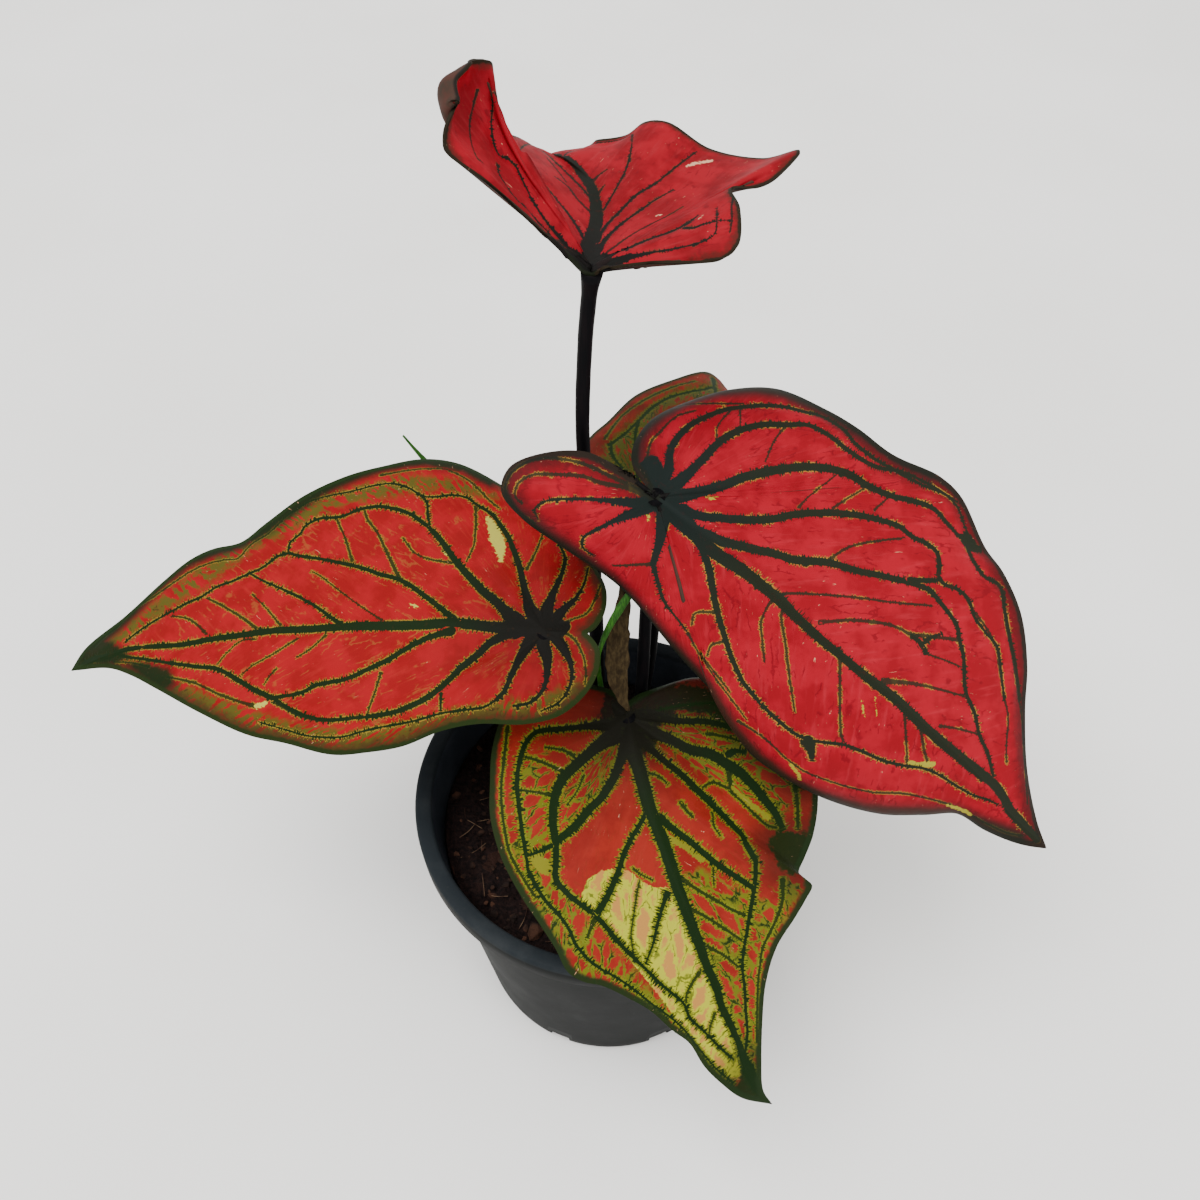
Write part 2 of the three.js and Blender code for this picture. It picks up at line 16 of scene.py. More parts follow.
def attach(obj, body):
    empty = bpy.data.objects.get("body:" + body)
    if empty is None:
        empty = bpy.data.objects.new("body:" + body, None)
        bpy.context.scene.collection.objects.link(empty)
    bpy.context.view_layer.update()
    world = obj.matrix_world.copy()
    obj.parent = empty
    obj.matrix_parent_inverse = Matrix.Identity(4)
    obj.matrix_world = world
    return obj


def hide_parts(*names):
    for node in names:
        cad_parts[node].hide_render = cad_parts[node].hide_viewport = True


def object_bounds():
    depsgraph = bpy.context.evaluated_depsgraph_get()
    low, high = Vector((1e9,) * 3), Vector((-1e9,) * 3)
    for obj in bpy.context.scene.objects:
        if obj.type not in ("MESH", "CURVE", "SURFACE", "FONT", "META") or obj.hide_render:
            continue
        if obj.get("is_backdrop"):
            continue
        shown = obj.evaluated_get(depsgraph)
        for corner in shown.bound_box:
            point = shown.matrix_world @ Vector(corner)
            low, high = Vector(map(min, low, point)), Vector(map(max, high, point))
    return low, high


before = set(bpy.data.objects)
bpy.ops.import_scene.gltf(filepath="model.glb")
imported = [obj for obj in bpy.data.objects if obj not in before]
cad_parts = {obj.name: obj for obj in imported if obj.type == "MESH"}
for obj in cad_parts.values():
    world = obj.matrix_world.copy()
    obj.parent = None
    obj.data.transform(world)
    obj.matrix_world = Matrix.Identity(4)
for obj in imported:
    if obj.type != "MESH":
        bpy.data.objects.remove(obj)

MM = 0.001
SOLID_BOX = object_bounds()

# ---------------------------------------------------------------- camera

# Places in the camera's frame are in its pixels, from its upper left corner
FRAME_SIZE = 1200
FRAME_MIDDLE = FRAME_SIZE / 2
SENSOR = 36
LENS = 35.34
CAMERA_PLACE = Vector((-4, -236, 519)) * MM
CAMERA_DROP = radians(50)
FOCAL = LENS / SENSOR * FRAME_SIZE
FORWARD = Vector((0, cos(CAMERA_DROP), -sin(CAMERA_DROP)))
UPWARD = Vector((0, sin(CAMERA_DROP), cos(CAMERA_DROP)))


def sight(x, y):
    """The direction in which the camera sees a place in its frame."""
    across = Vector((x - FRAME_MIDDLE, 0, 0))
    return (FORWARD * FOCAL + across + UPWARD * (FRAME_MIDDLE - y)).normalized()


def in_frame(place):
    """Where the camera sees a place."""
    offset = place - CAMERA_PLACE
    scale = FOCAL / offset.dot(FORWARD)
    return FRAME_MIDDLE + offset.x * scale, FRAME_MIDDLE - offset.dot(UPWARD) * scale


def pixel_width(place):
    """How many millimetres a pixel of the frame covers at a place."""
    return (place - CAMERA_PLACE).dot(FORWARD) / FOCAL / MM


# ---------------------------------------------------------------- sizes

BLADE_THICKNESS = 0.8
# The share of a half's ribs that leave the midrib, and how the ribs spread along it and are divided
FAN_RIBS = 0.45
MIDRIB_SWEEP = 1.15
RIB_SPREAD = 1.5
# What a panel's bow, t * t * (1 - t) along a rib, is multiplied by for a peak of 1
BOW_SCALE = 27 / 4
HEM_WIDTH = 12
HEM_TURN = pi / 2
# Vertices that are welded, and edges that are dissolved, in a new sheet
WELD = 0.02
SLIVER = 0.005

# How finely each blade is divided along its margins and across its halves
BLADE_GRIDS = {
    "right": (290, 70), "left": (260, 60), "front": (240, 64), "top": (240, 60), "back": (170, 40),
}

# Each blade hangs from its stalk at `at`. Its own frame has X along the midrib to the tip, Y to the left
# of it and Z out of the upper face, turned by heading, pitch and roll in degrees. Midrib rows are along,
# across and lift, from the tip to the stalk. Margin rows run from the tip round their lobe to the notch,
# and may go on with the bow of the panel beside them, the angle that the hem rolls in and how far the rib
# leans towards the tip. A drawn blade has x and y in the camera's frame instead of along and across. fan
# is the share of each margin whose ribs leave the midrib; the ribs after it all leave the stalk.
LEAVES = {
    "right": {
        "at": (14, 33, 250),
        "turn": (-31.5, 29, 15),
        "fan": {"left": 0.44, "right": 0.44},
        "drawn": True,
        "midrib": [
            (1044, 848, 0), (1004, 808, 4), (975, 772, 7), (931, 733, 10), (880, 685, 12),
            (828, 640, 12), (780, 597, 10), (739, 556, 7), (688, 522, 3), (657, 497, 0),
        ],
        "left": [
            (1044, 848, 0), (1037, 820, 0), (1026, 770, 1, 1), (1025, 710, 3, 1), (1026, 665, 5, 2),
            (1020, 615, 8, 2), (1003, 574, 8, 3), (985, 548, 4, 4), (961, 497, 3, 4), (940, 476, 5, 4),
            (890, 454, 9, 3), (857, 428, 8, 3), (825, 409, 3, 4), (776, 390, -3, 5), (735, 391, -7, 5),
            (687, 404, -10, 5), (652, 420, -9, 4), (633, 445, -6, 2), (633, 466, -3, 1), (649, 491, 0),
        ],
        "right": [
            (1044, 848, 0), (1020, 843, -2), (985, 829, -6, 1), (955, 813, -12, 2), (920, 813, -18, 4),
            (880, 812, -24, 6), (830, 799, -29, 7), (780, 773, -32, 8), (748, 748, -32, 8),
            (728, 708, -29, 7), (680, 656, -26, 6), (622, 588, -22, 6), (565, 548, -16, 6),
            (520, 517, -10, 4), (502, 492, -7, 3), (510, 468, -5, 3), (545, 454, -2, 2), (587, 452, 1, 1),
            (620, 468, 2), (649, 491, 0),
        ],
    },
    "left": {
        "at": (-22.6, 11.7, 207),
        "turn": (172.4, 12.9, -12),
        "fan": {"left": 0.46, "right": 0.46},
        "drawn": True,
        "midrib": [
            (72, 671, -7), (117, 652, -1), (185, 642, 2), (254, 634, 4), (335, 627, 5),
            (384, 625, 5), (453, 623, 3), (514, 629, 1), (545, 632, 0),
        ],
        "left": [
            (72, 671, -7), (109, 669, -4), (132, 676, -3), (155, 688, -3, 1), (200, 713, -4, 1),
            (247, 734, -6, 2), (285, 743, -7, 2), (330, 754, -8, 3), (366, 753, -9, 3), (400, 745, -9, 3),
            (440, 732, -8, 3), (480, 724, -7, 3), (526, 724, -8, 3), (560, 714, -8, 3), (588, 692, -7, 2),
            (600, 668, -4, 1), (598, 648, -1), (587, 634, 0),
        ],
        "right": [
            (72, 671, -7), (86, 650, -5), (128, 615, 0), (166, 581, 3), (190, 560, 5),
            (212, 550, 2, 1), (240, 544, 1, 1), (266, 523, 4, 1), (304, 496, 7, 1), (346, 477, 8, 2),
            (384, 466, 7, 3), (423, 460, 4, 4), (457, 465, 1, 4), (500, 487, -1, 4), (550, 522, -4, 4),
            (590, 560, -6, 3), (604, 590, -6, 2), (603, 614, -4, 1), (594, 629, -1), (587, 634, 0),
        ],
    },
    "front": {
        "at": (6, 6, 165),
        "turn": (-66.7, 29.4, 0),
        "fan": {"left": 0.44, "right": 0.44},
        "drawn": True,
        "midrib": [
            (771, 1104, -3), (749, 1078, 4), (736, 1041, 9), (719, 987, 13), (695, 924, 14),
            (675, 877, 12), (657, 824, 9), (642, 777, 6), (633, 742, 3), (628, 716, 0),
        ],
        "left": [
            (771, 1104, -3), (764, 1091, 0), (762, 1060, 5), (761, 1018, 7), (765, 985, 8),
            (777, 947, 9, 1), (795, 916, 10, 1), (808, 898, 12, 1), (811, 886, 13, 1), (806, 880, 11, 1),
            (798, 872, 7, 2), (804, 856, 5, 2), (813, 836, 5, 2), (817, 805, 8, 2), (814, 770, 8, 3),
            (800, 735, 4, 3), (770, 700, 0, 3), (735, 681, -3, 3), (695, 678, -4, 3), (662, 686, -3, 2),
            (640, 695, -1, 1), (628, 702, 0),
        ],
        "right": [
            (771, 1104, -3), (742, 1097, 0), (722, 1085, 2), (704, 1068, 3), (689, 1044, 3, 1),
            (675, 1031, 3, 1), (650, 1012, 3, 1), (628, 997, 3, 2), (604, 986, 4, 2), (583, 980, 6, 2),
            (566, 971, 7, 2), (555, 950, 6, 3), (540, 925, 4, 3), (520, 895, 3, 3), (503, 858, 3, 3),
            (492, 818, 3, 3), (490, 785, 1, 3), (492, 750, -2, 3), (503, 718, -5, 3), (530, 695, -7, 3),
            (565, 683, -6, 2), (598, 686, -3, 1), (618, 694, -1), (628, 702, 0),
        ],
    },
    "top": {
        "at": (-6.3, 50, 323),
        "turn": (90, 0, 0),
        "fan": {"left": 0.32, "right": 0.46},
        "midrib": [
            (108, 14, -38), (98, 17, -27), (84, 17, -13), (65, 10, -1.5),
            (50, 1, -1), (32, -2, -2), (14, -1, -1), (0, 0, 0),
        ],
        "left": [
            (108, 14, -38), (98, 22, -25), (86, 22, -9.5), (73, 26, 1), (61, 27.4, 7),
            (55, 27.6, 14, -1), (45, 28.6, 29, -2.5), (36, 28, 38, -4), (28, 27.6, 47, -5),
            (26.5, 31.5, 48, -5, 45), (25, 37.5, 49.5, -4, 95), (22, 42.5, 51.3, -3, 140),
            (18, 46.3, 51, -2, 165), (13, 46.2, 48, -1, 165), (9, 44.4, 44.5, 0, 110), (5, 40.6, 41, 0, 60),
            (2, 38.8, 38, 0, 20), (0.6, 38, 36.4), (-2, 27.5, 29), (-3, 17.4, 18.8), (-3, 9, 9.5),
            (-2, 2.5, 1), (-2, 0, 0),
        ],
        "right": [
            (108, 14, -38), (100, 4, -24, -1), (90, -2, -11, -1), (75, -2, -1.5, -1), (76, -11, -0.5),
            (75, -17, 4.5), (72, -24, 6), (65, -37, 1), (55, -53, 3.2), (45, -62.5, 11.3, 0, 0, 2),
            (36, -55, 8, 0, 0, 5), (31, -49, 8, 0, 0, 6), (27, -41, 10), (12, -42, 12), (1, -41, 8),
            (-1, -37, 5), (-3, -16, 5), (-3, -5, 3), (-2, 0, 0),
        ],
    },
    "back": {
        "at": (15, 66, 200),
        "turn": (50, 10, 0),
        "fan": {"left": 0.46, "right": 0.46},
        "midrib": [
            (160, 6, -66), (148, 7, -50), (130, 6, -26), (108, 3, -8), (85, 1, 2),
            (60, 0, 6), (35, 0, 5), (14, 0, 2), (0, 0, 0),
        ],
        "left": [
            (160, 6, -66), (151, 12, -54), (140, 21, -40), (128, 33, -24), (117, 43, -11),
            (111, 47, -3), (104, 50, 2), (84, 54, 4, 1), (60, 56, 5, 2), (40, 54, 2, 2),
            (31, 54, 0, 2), (18, 52, -4, 3), (4, 45, -8, 3), (-10, 35, -10, 3), (-20, 22, -8, 2),
            (-22, 10, -4, 1), (-14, 3, -1), (-4, 0, 0),
        ],
        "right": [
            (160, 6, -66), (152, 0, -56), (142, -10, -44), (130, -24, -30), (116, -38, -16, 1),
            (100, -48, -8, 2), (82, -53, -6, 3), (62, -54, -7, 3), (42, -52, -8, 3), (22, -50, -8, 3),
            (4, -44, -9, 3), (-10, -34, -10, 3), (-20, -20, -8, 2), (-22, -9, -4, 1), (-14, -3, -1),
            (-4, 0, 0),
        ],
    },
}

# Leaf stalks: rows are x, y, z and radius, from the tuber to the blade
STALKS = {
    "right": [
        (10, 16, 85.5, 3), (10, 16, 100, 3), (10.6, 18, 140, 2.5), (11.6, 21, 172, 2.3),
        (12.2, 27, 203, 2.2), (13.6, 34, 228, 2.1), (14.4, 36.4, 240, 2.2), (14.3, 35.6, 245.5, 2.4),
        (14, 33, 250, 3),
    ],
    "left": [
        (-6, 14, 85.5, 2.8), (-6, 14, 100, 2.8), (-7, 16.5, 130, 2.4), (-9.6, 20, 150, 2.2),
        (-13.4, 22, 168, 2.1), (-19, 17.5, 190, 2), (-21.8, 13.2, 201, 2.1), (-22.6, 11.7, 207, 2.8),
    ],
    "front": [
        (3, 9, 85.5, 2.6), (3, 9, 100, 2.6), (5, 8, 135, 2.2), (6, 7.2, 158, 2.1), (6, 6, 165, 2.8),
    ],
    "top": [
        (-5, 23, 85.5, 3.2), (-5, 23, 100, 3.2), (-5, 34, 150, 2.8), (-6.5, 46, 212, 2.5),
        (-9.6, 52, 257, 2.3), (-8.6, 52, 295, 2.3), (-7, 50.7, 316, 2.4), (-6.3, 50, 323, 3.3),
    ],
    "back": [
        (6, 27, 85.5, 2.8), (6, 27, 100, 2.8), (15, 40, 150, 2.3), (17, 55, 185, 2.1), (15.4, 64, 195, 2.2),
        (15, 66, 200, 2.8),
    ],
}

# Strips: rows are x, y, z, half width, half thickness and fold
WITHERED = [
    (2.5, 18, 85.5, 1.3, 1.1, 0), (2.5, 18, 100, 1.3, 1.1, 0), (3, 29, 150, 1.2, 1, 0),
    (4.5, 35, 195, 1.1, 0.9, 0), (5, 34, 213, 1.2, 0.8, 0), (5, 30, 216.5, 1.5, 0.6, 0),
    (4.3, 25, 211, 2.1, 0.5, 0.1), (2.9, 21, 201, 3.4, 0.45, 0.25), (2.1, 15.5, 191, 4.2, 0.45, 0.35),
    (2.4, 10, 182, 3.7, 0.45, 0.4), (4.2, 7, 175.5, 2.1, 0.45, 0.3), (6, 5, 170.5, 0.7, 0.45, 0),
]
GRASS_NEAR = [
    (-3, -2, 88, 0.8, 0.5, 0), (-3, -2, 100, 0.9, 0.5, 0), (-2.6, 6, 130, 1.1, 0.4, 0.2),
    (-2.2, 15, 152, 1.2, 0.4, 0.3), (-4, 19.2, 168, 1, 0.4, 0.3), (-4.6, 15, 186, 0.9, 0.4, 0.2),
    (-3.8, 12.8, 197, 0.8, 0.4, 0.2), (-1, 15, 205, 1.2, 0.4, 0.3), (2.8, 18.5, 211, 1.5, 0.4, 0.3),
    (5.5, 21, 214.5, 1.4, 0.4, 0.3), (8.5, 24.5, 217.5, 0.6, 0.4, 0),
]
GRASS_FAR = [
    (-16, 24, 88, 0.8, 0.5, 0), (-16, 24, 100, 0.9, 0.5, 0), (-26, 46, 152, 1.2, 0.4, 0.3),
    (-45, 73, 188, 1.3, 0.4, 0.3), (-63, 90, 201, 1.2, 0.4, 0.3), (-72, 96, 208, 0.9, 0.4, 0.2),
    (-79, 100, 216, 0.4, 0.4, 0),
]

# Sides and steps of the bent rods, and how uneven their skins are
STALK_GRID = (24, 90)
STRIP_GRID = (16, 120)
FIBRE_GRID = (5, 5)
STALK_BUMPS = 5
STALK_UNEVENNESS = 0.08
DRY_CRUMPLE = 0.9
GRASS_CRUMPLE = 0.1
CRUMPLE_SCALES = (0.5, 0.22)

# Pot
RIM_RADIUS = 75
POT_HEIGHT = 125
BASE_RADIUS = 56
BASE_RING = 20
INNER_CORNER = 4
OUTER_CORNER = 3
FLANGE_WIDTH = 6.4
FLANGE_THICKNESS = 1.6
SKIRT_DEPTH = 10
SKIRT_THICKNESS = 1.3
WALL = 1.5
FLOOR_THICKNESS = 2.2
OUTER_RINGS = range(15, 121, 7)
INNER_RINGS = range(120, 9, -8)
POT_STEPS = 200
DRAIN_COUNT = 8
DRAIN_COLUMNS = 5
DRAIN_HEIGHT = 7
DRAIN_REACH = 48

# Soil, with its shoulder, how far it sinks beside the wall, and what lies on it. Pairs are limits of
# random sizes.
SOIL_LEVEL = 105
SOIL_BOTTOM = 2.6
SOIL_CORNER = 5
SOIL_GAP = 0.35
SOIL_SHOULDER = SOIL_LEVEL - 4
SINK = 1.5
SINK_WIDTH = 3
SOIL_STEPS = 240
SOIL_RINGS = 70
CHIP_SEED = 11
CHIP_COUNT = 520
CHIP_REACH = 63
CHIP_TILT = 0.6
SMALL_SHARE = 0.93
SMALL_CHIP = (0.5, 1.7)
BIG_CHIP = (2, 3.4)
CHIP_LENGTH = (0.8, 1.9)
CHIP_HEIGHT = (0.35, 0.7)
CHIP_CORNERS = (0.75, 1.2)
FIBRE_SEED = 23
FIBRE_COUNT = 110
FIBRE_REACH = 58
FIBRE_LIFT = 0.5
FIBRE_RADIUS = 0.14
FIBRE_LENGTH = (3, 12)
FIBRE_SLOPE = (-0.05, 0.16)
FIBRE_BEND = (-0.3, 0.3)

# ---------------------------------------------------------------- vein lines

# Rows are the width at the stalk end, the width at the far end and the places, in the camera's frame.
# Each line is laid on the blade where the camera sees it.
MAIN_VEINS = {
    "right": [
        (13, 20, (653, 467), (659, 486), (666, 505)),
        (17, 9.5, (664, 503), (694, 533), (715, 552), (745, 572), (776, 597), (801, 621), (821, 639),
         (846, 660)),
        (10, 12, (846, 660), (870, 680), (899, 702), (924, 727), (952, 751), (979, 772), (997, 788),
         (1011, 811)),
        (12, 8, (1011, 811), (1026, 827), (1037, 839)),
        (8, 2.6, (657, 488), (668, 470), (670, 452), (676, 440), (690, 426), (704, 418), (725, 410),
         (745, 407), (766, 406), (785, 408), (801, 412), (821, 417), (844, 431), (854, 443), (873, 458),
         (897, 472), (924, 486), (943, 494), (956, 506), (966, 530), (972, 543)),
        (10, 3, (657, 492), (674, 486), (688, 474), (702, 460), (715, 446), (725, 438), (741, 430),
         (766, 425), (786, 426), (807, 426), (827, 435), (848, 451), (874, 466), (901, 472), (923, 482),
         (944, 494), (956, 502)),
        (11, 5.5, (657, 495), (676, 497), (696, 493), (721, 486), (745, 477), (766, 472), (801, 467),
         (825, 468), (848, 474), (868, 486), (891, 496), (913, 501), (933, 509), (950, 527), (966, 543)),
        (6, 4, (966, 543), (970, 555), (984, 576), (999, 586), (1004, 611), (1009, 633), (1015, 666),
         (1019, 700)),
        (11, 5.5, (658, 499), (676, 507), (696, 516), (721, 519), (749, 520), (774, 519), (793, 515),
         (827, 513), (854, 515), (874, 519), (899, 527), (911, 537), (927, 545), (936, 553), (939, 564),
         (938, 576)),
        (5, 3, (938, 576), (944, 584), (958, 590), (968, 600), (974, 617), (986, 633), (997, 647),
         (1001, 676), (1003, 700)),
        (13, 6, (664, 503), (678, 517), (696, 531), (725, 542), (749, 548), (774, 554), (793, 560),
         (827, 563), (858, 571), (887, 577), (911, 583), (929, 590), (940, 602)),
        (5.5, 4.5, (940, 602), (950, 615), (957, 627), (959, 640), (963, 656), (965, 690), (975, 715),
         (979, 735), (987, 753), (993, 776)),
        (6, 5, (911, 581), (925, 581), (939, 580)),
        (11, 7, (658, 500), (664, 511), (662, 529), (658, 548), (653, 564)),
        (5, 2.2, (653, 564), (658, 582), (664, 601), (676, 617), (688, 633)),
        (9, 4.5, (692, 531), (702, 548), (709, 568), (713, 589), (717, 609), (723, 631), (734, 663),
         (744, 683), (759, 701)),
        (4.5, 3.2, (759, 701), (774, 716), (792, 731), (808, 739), (818, 741), (836, 743), (846, 745),
         (862, 751), (883, 760), (903, 765), (924, 768), (936, 773), (954, 784), (971, 794), (989, 800),
         (997, 804)),
        (6, 2.2, (655, 499), (643, 503), (623, 502), (602, 500), (575, 499), (546, 501), (535, 509),
         (538, 518)),
        (7, 2.4, (656, 501), (645, 508), (620, 518), (597, 529), (583, 538), (583, 547), (594, 555)),
        (15, 9, (967, 541), (972, 546), (978, 549)),
        (4, 6, (912, 636), (921, 644), (925, 652)),
        (5, 2.5, (921, 644), (930, 638), (940, 634)),
        (9, 6, (808, 741), (811, 750), (812, 757)),
    ],
    "left": [
        (17, 13, (528, 627), (545, 626), (562, 629)),
        (12, 8.5, (529, 627), (504, 628), (474, 625), (451, 623), (422, 625), (382, 626), (341, 627)),
        (8.5, 5, (341, 627), (309, 629), (272, 631), (235, 636), (207, 640), (180, 645), (143, 647)),
        (5, 7, (143, 647), (124, 650), (110, 656), (96, 659), (84, 664)),
        (6, 3.6, (455, 621), (439, 607), (422, 594), (402, 581), (382, 575), (361, 568), (341, 563),
         (320, 559), (300, 556), (289, 553)),
        (3.8, 2.8, (289, 553), (279, 556), (263, 568), (250, 574), (231, 582), (217, 587), (202, 597),
         (189, 603), (170, 613), (154, 622), (135, 634), (124, 643)),
        (10.5, 5.5, (514, 621), (496, 602), (484, 592), (467, 574), (455, 560), (443, 543), (431, 529)),
        (4.6, 3, (431, 529), (422, 522), (410, 514), (394, 509), (378, 507), (359, 510), (341, 517),
         (320, 519), (306, 526), (300, 534), (290, 543), (288, 552)),
        (9, 3.6, (543, 624), (531, 611), (525, 590), (520, 568), (514, 551), (508, 537), (500, 525),
         (492, 515), (478, 506)),
        (3.2, 2, (478, 506), (467, 498), (451, 495), (435, 497), (422, 496), (410, 489), (392, 484),
         (374, 486), (351, 492), (331, 496), (310, 502), (300, 508)),
        (3.6, 2.6, (431, 529), (428, 516), (427, 503), (422, 496)),
        (8, 3, (548, 624), (547, 611), (553, 594), (561, 576), (565, 558), (561, 547)),
        (5.5, 2, (553, 623), (563, 611), (576, 598), (584, 584), (588, 568)),
        (4.2, 2.6, (340, 624), (333, 619), (318, 608), (300, 598), (281, 589), (263, 581), (252, 575)),
        (6.5, 4, (451, 631), (431, 637), (410, 647), (388, 660), (367, 670), (347, 679), (318, 685),
         (300, 693), (272, 698)),
        (6, 3, (272, 698), (253, 689), (235, 678), (217, 669), (198, 667), (170, 663), (143, 659),
         (120, 656)),
        (9, 5, (516, 629), (504, 635), (490, 643), (476, 656), (459, 670), (447, 682), (433, 694),
         (414, 705), (392, 713), (367, 717)),
        (4, 5, (367, 717), (327, 720), (309, 717), (290, 709), (272, 698)),
        (9, 4.5, (541, 629), (531, 641), (520, 658), (512, 674), (504, 692), (496, 700)),
        (3, 2, (496, 700), (484, 707), (463, 710), (443, 713), (414, 721), (382, 727), (361, 732),
         (341, 737), (309, 736), (287, 730), (259, 722)),
        (7.5, 2.8, (547, 630), (543, 643), (547, 658), (547, 674), (543, 690), (531, 702), (514, 706)),
        (5.5, 2, (552, 631), (559, 641), (567, 654), (572, 670), (569, 688), (559, 702), (541, 711)),
        (2.6, 2.6, (441, 694), (441, 702), (441, 711)),
    ],
    "front": [
        (22, 26, (622, 724), (629, 731), (636, 741)),
        (15, 12, (632, 736), (629, 745), (636, 760), (643, 783), (648, 803), (654, 818), (661, 836),
         (667, 853), (672, 869), (677, 886)),
        (12, 6, (677, 886), (684, 905), (690, 921), (699, 944), (707, 966), (715, 984), (722, 1007),
         (730, 1024), (738, 1041)),
        (6, 11, (738, 1041), (744, 1058), (748, 1068)),
        (13, 7, (748, 1068), (754, 1082), (761, 1093), (766, 1101)),
        (6.5, 3.8, (621, 727), (608, 726), (586, 727), (563, 729), (546, 730), (535, 733), (526, 743),
         (520, 760), (517, 783), (519, 806), (522, 831), (525, 849), (528, 869)),
        (4.5, 3.2, (528, 869), (536, 886), (546, 901), (560, 916), (570, 931), (575, 943), (589, 960),
         (603, 970)),
        (3.2, 2, (603, 970), (618, 978), (634, 989), (650, 1002), (672, 1018), (684, 1029), (699, 1048),
         (718, 1070), (733, 1082)),
        (12, 8, (622, 732), (611, 738), (599, 745), (586, 756), (573, 768), (563, 778), (556, 793),
         (553, 809), (553, 826), (556, 844)),
        (7, 5, (556, 844), (556, 863), (556, 879), (566, 892), (580, 904), (594, 914)),
        (6, 3.6, (594, 914), (606, 927), (620, 944), (634, 958), (646, 969)),
        (3.6, 3, (646, 969), (660, 983), (672, 993), (684, 1004), (690, 1018), (703, 1030), (718, 1045),
         (733, 1059)),
        (9, 8, (629, 743), (624, 753), (618, 768), (611, 783), (601, 798), (590, 809), (578, 823),
         (566, 834), (556, 841)),
        (4, 7, (647, 811), (643, 819), (633, 836), (624, 853), (619, 869), (613, 884), (606, 899),
         (598, 912)),
        (4.4, 2.4, (667, 894), (662, 909), (657, 926), (654, 940), (652, 947), (646, 963)),
        (8, 6, (631, 723), (646, 716), (677, 721), (707, 722), (735, 728)),
        (9, 11, (630, 729), (643, 731), (669, 739), (692, 750), (710, 754), (727, 764), (741, 773)),
        (10, 7, (741, 773), (753, 785), (765, 800), (775, 813), (781, 826)),
        (7, 8, (630, 733), (643, 742), (661, 759), (680, 774), (698, 791), (713, 806)),
        (8, 6, (713, 806), (727, 820), (741, 835), (750, 851), (756, 861)),
        (7, 6, (660, 819), (677, 832), (695, 846), (713, 861), (732, 874), (747, 884), (753, 888)),
        (5, 4, (756, 861), (755, 880), (753, 895), (750, 912), (747, 930), (744, 944)),
        (4, 3.4, (744, 944), (742, 966), (744, 987), (745, 1010), (747, 1033), (745, 1051)),
        (5, 4, (729, 754), (736, 751), (744, 752)),
        (3.5, 3.5, (551, 846), (538, 852), (526, 856)),
    ],
    "top": [
        (16, 16, (588, 264), (594, 260), (600, 260)),
        (17, 13, (592, 260), (590, 247), (596, 223), (596, 204)),
        (12, 7, (596, 204), (591, 188), (583, 176), (574, 164), (566, 157)),
        (5, 2, (590, 251), (583, 238), (570, 217), (556, 200), (545, 187)),
        (5, 2.6, (588, 266), (578, 259), (567, 249), (558, 236), (543, 217), (532, 200), (523, 182),
         (515, 166), (508, 159)),
        (3.6, 2, (508, 159), (499, 155), (494, 145), (491, 126), (492, 107), (493, 93)),
        (3.6, 2, (586, 268), (574, 259), (566, 252), (545, 231), (529, 212), (515, 198), (505, 184),
         (499, 174), (497, 163)),
        (4.5, 2, (597, 242), (605, 227), (618, 214), (636, 197), (653, 186), (669, 173), (683, 162),
         (697, 152)),
        (5, 1.8, (597, 251), (607, 238), (622, 224), (643, 210), (660, 198), (674, 190)),
        (3.6, 4.4, (600, 264), (614, 257), (632, 248), (653, 239), (671, 232), (685, 225)),
        (6, 2.4, (685, 225), (692, 220), (698, 215)),
        (3.6, 2, (685, 228), (694, 228), (702, 225), (716, 222), (732, 221)),
        (3.4, 1.8, (602, 267), (622, 260), (643, 255), (669, 250), (688, 246), (705, 241), (715, 234),
         (717, 221), (717, 208)),
    ],
    "back": [
        (3.4, 3, (610, 445), (628, 432), (638, 422), (652, 408), (672, 397), (688, 393), (705, 390),
         (715, 387)),
        (3, 2.6, (638, 422), (635, 442), (640, 465)),
        (3, 3, (610, 445), (613, 456), (622, 468)),
        (4, 4, (713, 380), (714, 388), (716, 396)),
    ],
}
